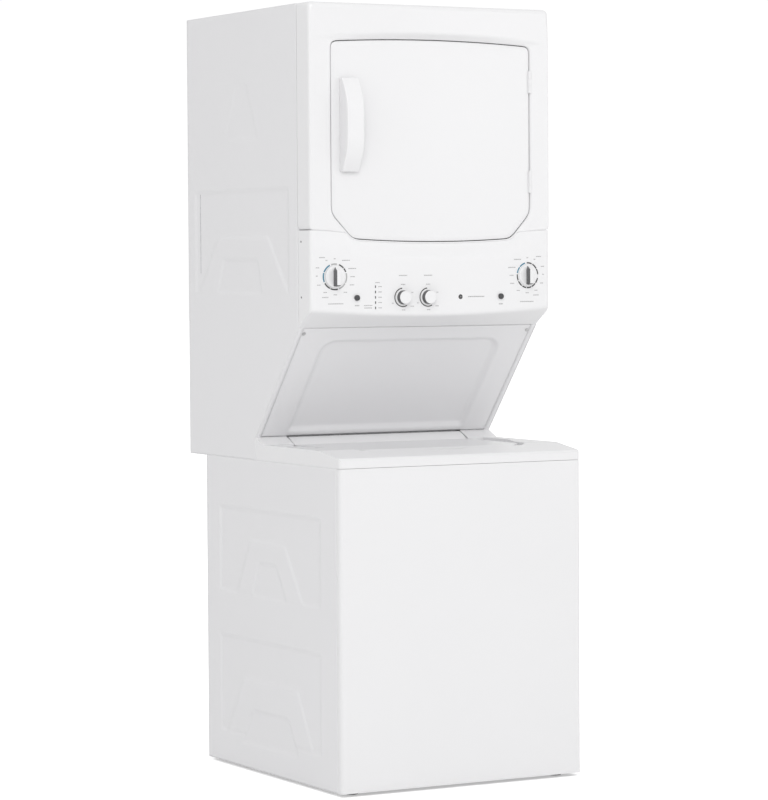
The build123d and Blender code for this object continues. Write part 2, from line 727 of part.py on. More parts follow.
dryer_back_panel.part.label = "dryer_back_panel"
export_step(dryer_back_panel.part, "parts/dryer_back_panel.step")

floor_z = deck_back_z + 8.0
floor_front_y = slant_bottom_y + 12.0
# ---- Dryer front, fascia and access panel -------------------------------------------------------
front_wall = 1.6
top_corner_radius = 20.0
door_mid_z = door_bottom + door_height / 2
door_pocket_depth = 25.0
pocket_y = face_y + door_pocket_depth
opening_z = drum_center_z
collar_back_y = side_front_y - 16.0
strike_x = -door_width / 2 + 34.0
strike_radius = 3.0
strike_length = 16.0
strike_z = door_mid_z


def door_outline(y, grow):
    """The door's outline on a plane at depth y, grown by a margin: bowed top and bottom, cut lower corners."""
    left = door_center_x - door_width / 2
    right = door_center_x + door_width / 2
    top_corner = door_bottom + door_height - door_crown
    low_corner = door_bottom + door_sag
    cut_top = door_bottom + door_cut_rise
    with BuildSketch(facing(y)) as outline:
        with BuildLine():
            ThreePointArc((left, top_corner), (door_center_x, top_corner + door_crown), (right, top_corner))
            Polyline((right, top_corner), (right, cut_top), (right - door_cut_run, low_corner))
            ThreePointArc((right - door_cut_run, low_corner), (door_center_x, door_bottom),
                          (left + door_cut_run, low_corner))
            Polyline((left + door_cut_run, low_corner), (left, cut_top), (left, top_corner))
        make_face()
        fillet(outline.vertices().group_by(Axis.Y)[-1], radius=door_top_radius)
        fillet(outline.vertices().filter_by_position(Axis.Y, door_bottom - 1.0, cut_top + 1.0),
               radius=door_cut_radius)
        if grow:
            offset(amount=grow)
    return outline.sketch


def opening_outline(y, grow):
    """The loading opening's outline on a plane at depth y, grown by a margin."""
    with BuildSketch(facing(y)) as outline:
        with Locations((0, opening_z)):
            RectangleRounded(opening_width + 2 * grow, opening_height + 2 * grow, opening_radius + grow)
    return outline.sketch


hinge_x = door_center_x + door_width / 2 + 0.4 * door_gap
hinge_y = face_y
leaf_reach = 18.0
hinge_heights = (1488.0, 1738.0)

def front_block(inset, low):
    """The dryer front as a block with rounded front edges, shrunk by an inset, from a lowest height up."""
    with BuildPart() as block:
        with BuildSketch(facing(face_y + inset)):
            with Locations((0, (low + height - inset) / 2)):
                Rectangle(width - 2 * inset, height - inset - low)
        extrude(amount=-wrap)
        fillet(block.edges().filter_by(Axis.Y).group_by(Axis.Z)[-1], radius=top_corner_radius - inset)
        fillet(block.faces().sort_by(Axis.Y)[0].edges().sort_by(Axis.Z)[1:], radius=corner_radius - inset)
    return block.part


front_outside = front_block(0.0, fascia_top + seam)
front_inside = front_block(front_wall, fascia_top - wrap)
with BuildPart() as dryer_front_panel:
    add(front_outside)
    add(front_inside, mode=Mode.SUBTRACT)
    extrude(door_outline(face_y, door_gap + front_wall), amount=-(door_pocket_depth + front_wall))
    extrude(door_outline(face_y, door_gap), amount=-door_pocket_depth, mode=Mode.SUBTRACT)
    extrude(opening_outline(pocket_y, front_wall), amount=-(collar_back_y - pocket_y))
    extrude(opening_outline(pocket_y - 1.0, 0.0), amount=-(collar_back_y - pocket_y + 2.0), mode=Mode.SUBTRACT)
    with BuildSketch(facing(pocket_y - 1.0)):
        with Locations((strike_x, strike_z)):
            Circle(strike_radius + 4.0)
    extrude(amount=-10.0, mode=Mode.SUBTRACT)
    # Notches that leave room for the hinge knuckles in the gap beside the door.
    for z_middle in hinge_heights:
        with BuildSketch(facing(face_y)):
            with Locations((hinge_x, z_middle)):
                Rectangle(2 * hinge_radius + 1.0, hinge_length + 1.0)
        extrude(amount=-(hinge_radius + 1.0), mode=Mode.SUBTRACT)
dryer_front_panel.part.label = "dryer_front_panel"
export_step(dryer_front_panel.part, "parts/dryer_front_panel.step")

# Control fascia and the places of its controls.
fascia_face_bottom = 1160.0
big_knob_z = 1253.0
small_knob_z = 1201.0
big_knob_x = 274.5
small_knob_places = {"temperature_knob": -89.0, "option_knob": -18.5}
button_places = {"washer_start_button": -216.0, "dryer_start_button": 193.0}
light_x = -165.0
light_pitch = 13.0
light_count = 5
light_size = (2.4, 6.0)
knob_shaft_radius = 3.0
knob_hole_radius = 5.0
knob_places = {"washer_cycle_knob": (-big_knob_x, big_knob_z), "dryer_cycle_knob": (big_knob_x, big_knob_z)}
small_places = [(x, small_knob_z) for x in small_knob_places.values()]
button_points = [(x, small_knob_z) for x in button_places.values()]
light_points = [(light_x, small_knob_z + 1.0 + light_pitch * (number - (light_count - 1) / 2))
                for number in range(light_count)]

bow_front_y = face_y - face_bow - 1.0


def fascia_block(inset, low_rise, back):
    """The fascia as a block, shrunk by an inset: a wedge seen from the side, with a bowed front in plan."""
    front = face_y + inset
    side = half_width - inset
    low = fascia_face_bottom + low_rise / 2
    with BuildPart() as block:
        with BuildSketch(Plane.YZ):
            with BuildLine():
                Polyline((front, low), (bow_front_y, low), (bow_front_y, fascia_top - inset),
                         (back, fascia_top - inset), (back, slant_top + low_rise), close=True)
            make_face()
        extrude(amount=side, both=True)
        with BuildSketch(Plane.XY.offset(slant_top)):
            with BuildLine():
                ThreePointArc((-side, front), (0, front - face_bow), (side, front))
                Polyline((side, front), (side, back), (-side, back), (-side, front))
            make_face()
        extrude(amount=fascia_top - slant_top, mode=Mode.INTERSECT)
        fillet(block.edges().filter_by(Axis.Z).group_by(Axis.Y)[0], radius=corner_radius - inset)
    return block.part


fascia_outside = fascia_block(0.0, 0.0, side_front_y)
fascia_inside = fascia_block(moulding, moulding, side_front_y + 1.0)
with BuildPart() as control_fascia:
    add(fascia_outside)
    add(fascia_inside, mode=Mode.SUBTRACT)
    extrude(door_outline(bow_front_y, door_gap + front_wall + part_gap), amount=-(wrap + face_bow + 4.0),
            mode=Mode.SUBTRACT)
    with BuildSketch(facing(bow_front_y)):
        with Locations(*knob_places.values(), *small_places):
            Circle(knob_hole_radius)
        with Locations(*button_points):
            Circle(button_radius + part_gap)
        with Locations(*light_points):
            Rectangle(light_size[0] + 0.2, light_size[1] + 0.2)
    extrude(amount=-(face_bow + moulding + 2.0), mode=Mode.SUBTRACT)
control_fascia.part.label = "control_fascia"
export_step(control_fascia.part, "parts/control_fascia.step")

slant_plane = Plane(origin=(0, side_front_y, slant_top), x_dir=(1, 0, 0),
                    z_dir=(0, deck_back_z - slant_top, -slant_run))
slant_field_low = 353.0
slant_field_high = 39.0
slant_field_half = 258.0
slant_field_depth = 8.0
slant_screw_drop = 17.5
slant_screw_x = half_width - 20.0
screw_radius = 2.2
screw_head_radius = 5.0
field_middle = -(slant_field_low + slant_field_high) / 2
field_height = slant_field_low - slant_field_high
with BuildPart() as access_panel:
    with BuildSketch(slant_plane):
        with Locations((0, -slant_length / 2)):
            Rectangle(2 * (inner_half - part_gap), slant_length - 2.0)
        with Locations((-slant_screw_x, -slant_screw_drop), (slant_screw_x, -slant_screw_drop)):
            Circle(screw_radius, mode=Mode.SUBTRACT)
    extrude(amount=-sheet)
    with BuildSketch(slant_plane):
        with Locations((0, field_middle)):
            RectangleRounded(2 * slant_field_half, field_height, 30.0)
    extrude(amount=-(slant_field_depth + sheet))
    with BuildSketch(slant_plane):
        with Locations((0, field_middle)):
            RectangleRounded(2 * (slant_field_half - sheet), field_height - 2 * sheet, 30.0 - sheet)
    extrude(amount=-slant_field_depth, mode=Mode.SUBTRACT)
access_panel.part.label = "access_panel"
export_step(access_panel.part, "parts/access_panel.step")

with BuildPart() as panel_screws:
    with BuildSketch(slant_plane):
        with Locations((-slant_screw_x, -slant_screw_drop), (slant_screw_x, -slant_screw_drop)):
            Circle(screw_head_radius)
    extrude(amount=1.6)
    with BuildSketch(slant_plane):
        with Locations((-slant_screw_x, -slant_screw_drop), (slant_screw_x, -slant_screw_drop)):
            Circle(screw_radius)
    extrude(amount=-10.0)
panel_screws.part.label = "panel_screws"
export_step(panel_screws.part, "parts/panel_screws.step")

# ---- Dryer door ---------------------------------------------------------------------------------
liner_y = face_y + door_depth
seal_thickness = door_pocket_depth - door_depth - 2 * part_gap
plug_back_y = liner_y + plug_depth - 4.0
with BuildPart() as door_outer:
    extrude(door_outline(face_y, 0.0), amount=-(door_depth - 2.0 - part_gap))
    extrude(door_outline(face_y + door_skin, -door_skin), amount=-door_depth, mode=Mode.SUBTRACT)
    for z_middle in hinge_heights:
        with BuildSketch(facing(face_y)):
            with Locations((hinge_x, z_middle)):
                Rectangle(2 * hinge_radius + 1.0, hinge_length + 1.0)
        extrude(amount=-(hinge_radius + 1.0), mode=Mode.SUBTRACT)
door_outer.part.label = "door_outer"
export_step(door_outer.part, "parts/door_outer.step")

with BuildPart() as door_liner:
    extrude(door_outline(liner_y - 2.0, 0.0), amount=-2.0)
    extrude(opening_outline(liner_y - 2.0, -plug_gap), amount=-(plug_back_y - liner_y + 2.0))
    extrude(opening_outline(liner_y - 3.0, -plug_gap - 2.0), amount=-(plug_back_y - liner_y + 1.0),
            mode=Mode.SUBTRACT)
    with BuildSketch(facing(liner_y)):
        with Locations((strike_x, strike_z)):
            Circle(strike_radius)
    extrude(amount=-strike_length)
door_liner.part.label = "door_liner"
export_step(door_liner.part, "parts/door_liner.step")

# Handle: a bowed bar that stands off the door on two feet.
handle_x = door_center_x - door_width / 2 + 45.5
handle_z = 1623.0
handle_bar = 9.0
handle_foot = 26.0
handle_wall = 3.0
handle_low = handle_z - handle_height / 2
handle_high = handle_z + handle_height / 2
handle_flat = 55.0
handle_end = 12.0             # how far its ends stand off the door
handle_bend = 15.0
handle_round = 4.0            # the middle of the bar stands this much further off than its bends
handle_back = face_y - handle_stand
handle_front = [
    (face_y, handle_high), (face_y - handle_end, handle_high),
    (handle_back + handle_round, handle_z + handle_flat + handle_bend),
    (handle_back, handle_z + handle_flat / 2), (handle_back, handle_z - handle_flat / 2),
    (handle_back + handle_round, handle_z - handle_flat - handle_bend),
    (face_y - handle_end, handle_low), (face_y, handle_low)]
handle_slope = 22.0
handle_behind = [
    (face_y, handle_low + handle_foot),
    (handle_back + handle_bar, handle_low + handle_foot + handle_slope),
    (handle_back + handle_bar, handle_high - handle_foot - handle_slope),
    (face_y, handle_high - handle_foot)]
handle_left = handle_x - handle_width / 2
with BuildPart() as door_handle:
    with BuildSketch(Plane.YZ.offset(handle_left)):
        with BuildLine():
            Polyline(*handle_front, *handle_behind, close=True)
        make_face()
    extrude(amount=handle_width)
    with BuildSketch(Plane.YZ.offset(handle_left)):
        with BuildLine():
            Polyline(*handle_front, close=True)
        make_face()
    extrude(amount=handle_wall)
door_handle.part.label = "door_handle"
export_step(door_handle.part, "parts/door_handle.step")

def hinge_section(leaf_middle_x, leaf_y):
    """A knuckle with its leaf behind the panel skin, as seen from above."""
    with BuildSketch() as section:
        with Locations((hinge_x, hinge_y)):
            Circle(hinge_radius)
        with Locations((leaf_middle_x, leaf_y)):
            Rectangle(leaf_reach, hinge_leaf)
    return section.sketch


with BuildPart() as door_hinges:
    door_leaf = hinge_section(hinge_x - leaf_reach / 2, face_y + door_skin + 0.1 + hinge_leaf / 2)
    for z_middle in hinge_heights:
        with BuildSketch(Plane.XY.offset(z_middle - hinge_length / 2)):
            with Locations((hinge_x, hinge_y)):
                Circle(hinge_pin_radius)
        extrude(amount=hinge_length)
        for z_start in (z_middle - hinge_length / 2, z_middle + hinge_length / 6 + part_gap):
            extrude(Pos(0, 0, z_start) * door_leaf, amount=hinge_length / 3 - part_gap)
door_hinges.part.label = "door_hinges"
export_step(door_hinges.part, "parts/door_hinges.step")

with BuildPart() as hinge_knuckles:
    fixed_leaf = hinge_section(hinge_x + leaf_reach / 2, face_y + front_wall + 0.1 + hinge_leaf / 2)
    for z_middle in hinge_heights:
        extrude(Pos(0, 0, z_middle - hinge_length / 6) * fixed_leaf, amount=hinge_length / 3)
        with BuildSketch(Plane.XY.offset(z_middle - hinge_length / 6)):
            with Locations((hinge_x, hinge_y)):
                Circle(hinge_pin_radius + running_gap)
        extrude(amount=hinge_length / 3, mode=Mode.SUBTRACT)
hinge_knuckles.part.label = "hinge_knuckles"
export_step(hinge_knuckles.part, "parts/hinge_knuckles.step")

with BuildPart() as door_catch:
    with BuildSketch(facing(pocket_y + front_wall)):
        with Locations((strike_x, strike_z)):
            Rectangle(34.0, 44.0)
            Circle(strike_radius + 1.5, mode=Mode.SUBTRACT)
    extrude(amount=-16.0)
door_catch.part.label = "door_catch"
export_step(door_catch.part, "parts/door_catch.step")

with BuildPart() as door_seal:
    extrude(opening_outline(pocket_y, 14.0), amount=seal_thickness)
    extrude(opening_outline(pocket_y, 2.0), amount=seal_thickness, mode=Mode.SUBTRACT)
door_seal.part.label = "door_seal"
export_step(door_seal.part, "parts/door_seal.step")

# ---- Dryer works --------------------------------------------------------------------------------
drum_wall = 1.5
drum_lip = 17.0
drum_stub_radius = 8.0
drum_stub_length = 24.0
rear_bulkhead_y = drum_back_y + 15.0
bulkhead_half = inner_half - part_gap
bulkhead_low = 1262.0
bulkhead_high = height - 14.0
front_bulkhead_y = side_front_y + 2.0
bearing_gap = 0.6

with BuildPart() as dryer_drum:
    with BuildSketch(facing(drum_front_y)):
        with Locations((0, drum_center_z)):
            Circle(drum_radius)
    extrude(amount=-drum_length)
    with BuildSketch(facing(drum_front_y + drum_wall)):
        with Locations((0, drum_center_z)):
            Circle(drum_radius - drum_wall)
    extrude(amount=-(drum_length - 2 * drum_wall), mode=Mode.SUBTRACT)
    with BuildSketch(facing(drum_front_y)):
        with Locations((0, drum_center_z)):
            Circle(drum_radius - drum_lip)
    extrude(amount=-drum_wall, mode=Mode.SUBTRACT)
    with BuildSketch(facing(drum_back_y)):
        with Locations((0, drum_center_z)):
            Circle(drum_stub_radius)
    extrude(amount=-drum_stub_length)
dryer_drum.part.label = "dryer_drum"
export_step(dryer_drum.part, "parts/dryer_drum.step")

baffle_height = 62.0
baffle_foot = 34.0
baffle_crest_half = 12.0
baffle_wall = 3.0
baffle_edge_radius = 5.0
baffle_end_gap = 8.0
baffle_reach = drum_radius - drum_wall - 2.2
baffle_start_y = drum_front_y + drum_wall + baffle_end_gap
baffle_length = drum_length - 2 * (drum_wall + baffle_end_gap)


def baffle_section(number, y, inset):
    """The trapezium section of one of the three drum baffles, at depth y, shrunk by an inset."""
    turn = radians(90.0 + 120.0 * number)
    foot = baffle_foot - 3 * inset
    crest = baffle_crest_half - inset
    top = baffle_reach - baffle_height + 5 * inset / 3
    with BuildSketch(Plane(origin=(0, y, drum_center_z), z_dir=(0, 1, 0), x_dir=(cos(turn), 0, sin(turn)))) as section:
        with BuildLine():
            Polyline((baffle_reach - inset, -foot), (top, -crest), (top, crest), (baffle_reach - inset, foot),
                     close=True)
        make_face()
    return section.sketch


with BuildPart() as drum_baffles:
    for number in range(3):
        extrude(baffle_section(number, baffle_start_y, 0.0), amount=baffle_length)
    fillet(drum_baffles.edges().filter_by(Axis.Y), radius=baffle_edge_radius)
    for number in range(3):
        extrude(baffle_section(number, baffle_start_y + baffle_wall, baffle_wall),
                amount=baffle_length - 2 * baffle_wall, mode=Mode.SUBTRACT)
drum_baffles.part.label = "drum_baffles"
export_step(drum_baffles.part, "parts/drum_baffles.step")

# The front bulkhead closes the cabinet behind the door opening and carries the drum's front edge.
filter_half = 105.0
filter_thickness = 8.0
filter_height = 185.0
filter_top = opening_z - opening_height / 2 + 3.0
filter_y = side_front_y - 9.0
filter_play = 1.5
with BuildPart() as front_bulkhead:
    with BuildSketch(facing(front_bulkhead_y)):
        with Locations((0, (bulkhead_low - 60.0 + bulkhead_high) / 2)):
            Rectangle(2 * bulkhead_half, bulkhead_high - bulkhead_low + 60.0)
    extrude(amount=-2.0)
    with BuildSketch(facing(front_bulkhead_y + 2.0)):
        with Locations((0, drum_center_z)):
            Circle(drum_radius - drum_lip - bearing_gap)
            Circle(drum_radius - drum_lip - bearing_gap - 5.0, mode=Mode.SUBTRACT)
    extrude(amount=-(drum_front_y + drum_wall + 4.0 - front_bulkhead_y - 2.0))
    extrude(opening_outline(front_bulkhead_y - 1.0, 1.0), amount=-60.0, mode=Mode.SUBTRACT)
front_bulkhead.part.label = "front_bulkhead"
export_step(front_bulkhead.part, "parts/front_bulkhead.step")

with BuildPart() as rear_bulkhead:
    with BuildSketch(facing(rear_bulkhead_y)):
        with Locations((0, (bulkhead_low + bulkhead_high) / 2)):
            Rectangle(2 * bulkhead_half, bulkhead_high - bulkhead_low)
    extrude(amount=-2.0)
    with BuildSketch(facing(rear_bulkhead_y - 9.0)):
        with Locations((0, drum_center_z)):
            Circle(24.0)
    extrude(amount=-20.0)
    with BuildSketch(facing(rear_bulkhead_y + 2.0)):
        with Locations((0, drum_center_z)):
            Circle(215.0)
            Circle(120.0, mode=Mode.SUBTRACT)
    extrude(amount=-44.0)
    with BuildSketch(facing(rear_bulkhead_y - 20.0)):
        with Locations((0, drum_center_z)):
            Circle(drum_stub_radius + running_gap)
    extrude(amount=-60.0, mode=Mode.SUBTRACT)
    with BuildSketch(facing(rear_bulkhead_y)):
        with Locations((0, drum_center_z)):
            Circle(212.0)
            Circle(123.0, mode=Mode.SUBTRACT)
    extrude(amount=-44.0, mode=Mode.SUBTRACT)
rear_bulkhead.part.label = "rear_bulkhead"
export_step(rear_bulkhead.part, "parts/rear_bulkhead.step")

# Motor under the drum: belt pulley behind it, blower wheel in front of it, all on one axis along Y.
blower_front_y = -20.0
blower_length = 56.0
housing_gap = 8.0
housing_wall = 3.0
housing_radius = blower_radius + housing_gap + housing_wall
housing_front_y = blower_front_y - housing_gap - housing_wall
housing_length = blower_length + 2 * (housing_gap + housing_wall)
housing_back_y = housing_front_y + housing_length
dryer_motor_y = housing_back_y + 6.0
belt_y = dryer_motor_y + dryer_motor_length + 14.0
rotor_radius = 7.0

with BuildPart() as blower_wheel:
    with BuildSketch(facing(blower_front_y)):
        with Locations((blower_x, blower_z)):
            Circle(blower_radius)
            Circle(blower_radius - 4.0, mode=Mode.SUBTRACT)
    extrude(amount=-3.0)
    with BuildSketch(facing(blower_front_y + blower_length - 3.0)):
        with Locations((blower_x, blower_z)):
            Circle(blower_radius)
    extrude(amount=-3.0)
    with BuildSketch(facing(blower_front_y)):
        with Locations((blower_x, blower_z)):
            with PolarLocations(blower_radius - 9.0, 24):
                Rectangle(17.0, 2.0)
    extrude(amount=-blower_length)
    with BuildSketch(facing(blower_front_y + 20.0)):
        with Locations((blower_x, blower_z)):
            Circle(rotor_radius)
    extrude(amount=-(dryer_motor_y - blower_front_y - 20.0 - part_gap))
blower_wheel.part.label = "blower_wheel"
export_step(blower_wheel.part, "parts/blower_wheel.step")

chute_half = duct_radius + 4.0
chute_bottom = duct_z - duct_radius - 6.0
inlet_radius = 45.0
with BuildPart() as blower_housing:
    with BuildSketch(facing(housing_front_y)):
        with Locations((blower_x, blower_z)):
            Circle(housing_radius)
        with Locations((blower_x, (chute_bottom + blower_z) / 2)):
            Rectangle(2 * chute_half, blower_z - chute_bottom)
    extrude(amount=-housing_length)
    with BuildSketch(facing(housing_front_y + housing_wall)):
        with Locations((blower_x, blower_z)):
            Circle(housing_radius - housing_wall)
        with Locations((blower_x, (chute_bottom + housing_wall + blower_z) / 2)):
            Rectangle(2 * (chute_half - housing_wall), blower_z - chute_bottom - housing_wall)
    extrude(amount=-(housing_length - 2 * housing_wall), mode=Mode.SUBTRACT)
    with BuildSketch(facing(housing_front_y - 1.0)):
        with Locations((blower_x, blower_z)):
            Circle(inlet_radius)
    extrude(amount=-(housing_wall + 2.0), mode=Mode.SUBTRACT)
    with BuildSketch(facing(housing_back_y - housing_wall - 1.0)):
        with Locations((blower_x, blower_z)):
            Circle(rotor_radius + 1.0)
        with Locations((duct_x, duct_z)):
            Circle(duct_radius - 1.0)
    extrude(amount=-(housing_wall + 2.0), mode=Mode.SUBTRACT)
blower_housing.part.label = "blower_housing"
export_step(blower_housing.part, "parts/blower_housing.step")

with BuildPart() as dryer_motor:
    with BuildSketch(facing(dryer_motor_y)):
        with Locations((blower_x, blower_z)):
            Circle(dryer_motor_radius)
    extrude(amount=-dryer_motor_length)
    for side in (-1, 1):
        with BuildSketch(facing(dryer_motor_y + 20.0)):
            with Locations((blower_x + side * (duct_radius + 12.0), (floor_z + 2.0 + blower_z - 30.0) / 2)):
                Rectangle(8.0, blower_z - 30.0 - floor_z - 2.0)
        extrude(amount=-(dryer_motor_length - 40.0))
dryer_motor.part.label = "dryer_motor"
export_step(dryer_motor.part, "parts/dryer_motor.step")

with BuildPart() as dryer_motor_pulley:
    with BuildSketch(facing(belt_y - belt_width / 2 - 2.0)):
        with Locations((blower_x, blower_z)):
            Circle(dryer_motor_pulley_radius)
    extrude(amount=-(belt_width + 4.0))
    with BuildSketch(facing(belt_y + belt_width / 2 + part_gap)):
        with Locations((blower_x, blower_z)):
            Circle(dryer_motor_pulley_radius + 4.0)
    extrude(amount=-3.0)
    with BuildSketch(facing(dryer_motor_y + dryer_motor_length + part_gap)):
        with Locations((blower_x, blower_z)):
            Circle(rotor_radius)
    extrude(amount=-(belt_y - dryer_motor_y - dryer_motor_length))
dryer_motor_pulley.part.label = "dryer_motor_pulley"
export_step(dryer_motor_pulley.part, "parts/dryer_motor_pulley.step")

drum_belt = belt_loop(
    facing(belt_y + belt_width / 2), belt_width, (0.0, drum_center_z, drum_radius),
    (blower_x, blower_z, dryer_motor_pulley_radius), part_gap, part_gap + belt_thickness)
drum_belt.part.label = "drum_belt"
export_step(drum_belt.part, "parts/drum_belt.step")

# The idler presses on the outside of the belt's slack run, left of the motor pulley.
idler_radius = 24.0
run_span = hypot(blower_x, drum_center_z - blower_z)
run_lean = atan2(blower_z - drum_center_z, blower_x)
run_spread = -(pi / 2 - atan2(drum_radius - dryer_motor_pulley_radius,
                              sqrt(run_span ** 2 - (drum_radius - dryer_motor_pulley_radius) ** 2)))
run_normal = (cos(run_lean + run_spread), sin(run_lean + run_spread))
run_along = (run_normal[1], -run_normal[0])
idler_back = 90.0
idler_offset = dryer_motor_pulley_radius + 2 * part_gap + belt_thickness + idler_radius
idler_x = blower_x + run_normal[0] * idler_offset + run_along[0] * idler_back
idler_z = blower_z + run_normal[1] * idler_offset + run_along[1] * idler_back
idler_axle_radius = 5.0
with BuildPart() as idler_pulley:
    with BuildSketch(facing(belt_y - belt_width / 2)):
        with Locations((idler_x, idler_z)):
            Circle(idler_radius)
            Circle(idler_axle_radius + running_gap, mode=Mode.SUBTRACT)
    extrude(amount=-belt_width)
idler_pulley.part.label = "idler_pulley"
export_step(idler_pulley.part, "parts/idler_pulley.step")

# Dryer floor, with the bracket that holds the idler's axle.
with BuildPart() as dryer_base:
    with BuildSketch(Plane.XY.offset(floor_z)):
        with Locations((0, (floor_front_y + recessed_back_y - 4.0) / 2)):
            Rectangle(2 * back_half, recessed_back_y - 4.0 - floor_front_y)
    extrude(amount=2.0)
    with BuildSketch(Plane.XY.offset(floor_z)):
        with Locations((0, (floor_front_y + recessed_back_y - 4.0) / 2)):
            Rectangle(2 * back_half, recessed_back_y - 4.0 - floor_front_y)
            Rectangle(2 * back_half - 4.0, recessed_back_y - 8.0 - floor_front_y, mode=Mode.SUBTRACT)
    extrude(amount=-(floor_z - washer_height - deck_wall))
    with BuildSketch(facing(belt_y - belt_width / 2 - 2.0)):
        with Locations((idler_x, idler_z)):
            Circle(idler_axle_radius)
    extrude(amount=-(belt_width + 12.0))
    with BuildSketch(facing(belt_y + belt_width / 2 + 6.0)):
        with Locations((idler_x, idler_z)):
            Circle(12.0)
        with Locations((idler_x, (idler_z + floor_z + 2.0) / 2)):
            Rectangle(20.0, idler_z - floor_z - 2.0)
    extrude(amount=-4.0)
    with BuildSketch(Plane.XY.offset(floor_z + 2.0)):
        with Locations((idler_x, belt_y + belt_width / 2 + 2.0)):
            Rectangle(20.0, 40.0)
    extrude(amount=3.0)
dryer_base.part.label = "dryer_base"
export_step(dryer_base.part, "parts/dryer_base.step")

with BuildPart() as exhaust_duct:
    with BuildSketch(facing(housing_back_y)):
        with Locations((duct_x, duct_z)):
            Circle(duct_radius)
            Circle(duct_radius - 1.0, mode=Mode.SUBTRACT)
    extrude(amount=-(back_y - housing_back_y))
exhaust_duct.part.label = "exhaust_duct"
export_step(exhaust_duct.part, "parts/exhaust_duct.step")

# Lint duct: a flat upright box behind the fascia that leads down and back to the blower's inlet.
lint_wall = 1.5
lint_front_y = filter_y - filter_thickness / 2 - filter_play - lint_wall
lint_back_y = side_front_y - 0.5
lint_top = filter_top - 8.0
lint_bottom = slant_top + 12.0
channel_top = bulkhead_low - 62.0
channel_half = 55.0
with BuildPart() as lint_duct:
    with BuildSketch(facing(lint_front_y)):
        with Locations((0, (lint_bottom + lint_top) / 2)):
            Rectangle(2 * (filter_half + filter_play + lint_wall), lint_top - lint_bottom)
    extrude(amount=-(lint_back_y - lint_front_y))
    with BuildSketch(facing(lint_back_y)):
        with Locations((blower_x - 40.0, (lint_bottom + channel_top) / 2)):
            Rectangle(2 * channel_half, channel_top - lint_bottom)
    extrude(amount=-(housing_front_y - part_gap - lint_back_y))
    with BuildSketch(facing(lint_front_y + lint_wall)):
        with Locations((0, (lint_bottom + lint_wall + lint_top + 1.0) / 2)):
            Rectangle(2 * (filter_half + filter_play), lint_top + 1.0 - lint_bottom - lint_wall)
    extrude(amount=-(lint_back_y - lint_front_y - 2 * lint_wall), mode=Mode.SUBTRACT)
    with BuildSketch(facing(lint_back_y - lint_wall)):
        with Locations((blower_x - 40.0, (lint_bottom + channel_top) / 2)):
            Rectangle(2 * (channel_half - lint_wall), channel_top - lint_bottom - 2 * lint_wall)
    extrude(amount=-(housing_front_y - lint_back_y + lint_wall + 1.0), mode=Mode.SUBTRACT)
lint_duct.part.label = "lint_duct"
export_step(lint_duct.part, "parts/lint_duct.step")

with BuildPart() as lint_filter:
    with BuildSketch(facing(filter_y - filter_thickness / 2)):
        with Locations((0, filter_top - filter_height / 2)):
            RectangleRounded(2 * filter_half, filter_height, 12.0)
            RectangleRounded(2 * filter_half - 24.0, filter_height - 40.0, 8.0, mode=Mode.SUBTRACT)
    extrude(amount=-filter_thickness)
    with BuildSketch(facing(filter_y - 1.0)):
        with Locations((0, filter_top - filter_height / 2)):
            Rectangle(2 * filter_half - 20.0, filter_height - 36.0)
    extrude(amount=-2.0)
lint_filter.part.label = "lint_filter"
export_step(lint_filter.part, "parts/lint_filter.step")

with BuildPart() as terminal_block:
    with BuildSketch(facing(recessed_back_y - sheet - 34.0)):
        with Locations((terminal_x, terminal_z)):
            RectangleRounded(110.0, 90.0, 6.0)
            with Locations((0, -25.0)):
                Circle(gland_radius - 3.0, mode=Mode.SUBTRACT)
    extrude(amount=-(34.0 - part_gap))
    with BuildSketch(facing(recessed_back_y - sheet - 20.0)):
        with Locations((terminal_x, terminal_z - 25.0)):
            Circle(gland_radius)
            Circle(gland_radius - 3.0, mode=Mode.SUBTRACT)
    extrude(amount=-34.0)
terminal_block.part.label = "terminal_block"
export_step(terminal_block.part, "parts/terminal_block.step")

# ---- Controls -----------------------------------------------------------------------------------
knob_stand = 0.5
timer_front_y = face_y + moulding + 1.0
timer_depth = 24.0


def control_front(x, reach):
    """Depth of the bowed fascia under the innermost edge of a control of that reach, centred at x."""
    inner = max(0.0, abs(x) - reach)
    return face_y - face_bow * (1.0 - (inner / half_width) ** 2)


def control_knob(x, z, radius, knob_height, skirt):
    """A round knob with a flared skirt, a raised finger grip and the shaft that it turns."""
    front = control_front(x, radius + skirt)
    with BuildPart() as knob:
        with BuildSketch(facing(front - knob_stand)):
            with Locations((x, z)):
                Circle(radius + skirt)
        extrude(amount=3.0)
        with BuildSketch(facing(front - knob_stand - 3.0)):
            with Locations((x, z)):
                Circle(radius)
        extrude(amount=knob_height * 0.2)
        with BuildSketch(facing(front - knob_stand - 3.0)):
            with Locations((x, z)):
                RectangleRounded(radius * 0.62, radius * 1.9, radius * 0.25)
        extrude(amount=knob_height - 3.0)
        with BuildSketch(facing(front - knob_stand)):
            with Locations((x, z)):
                Circle(knob_shaft_radius)
        extrude(amount=-(timer_front_y + 8.0 - front + knob_stand))
    return knob


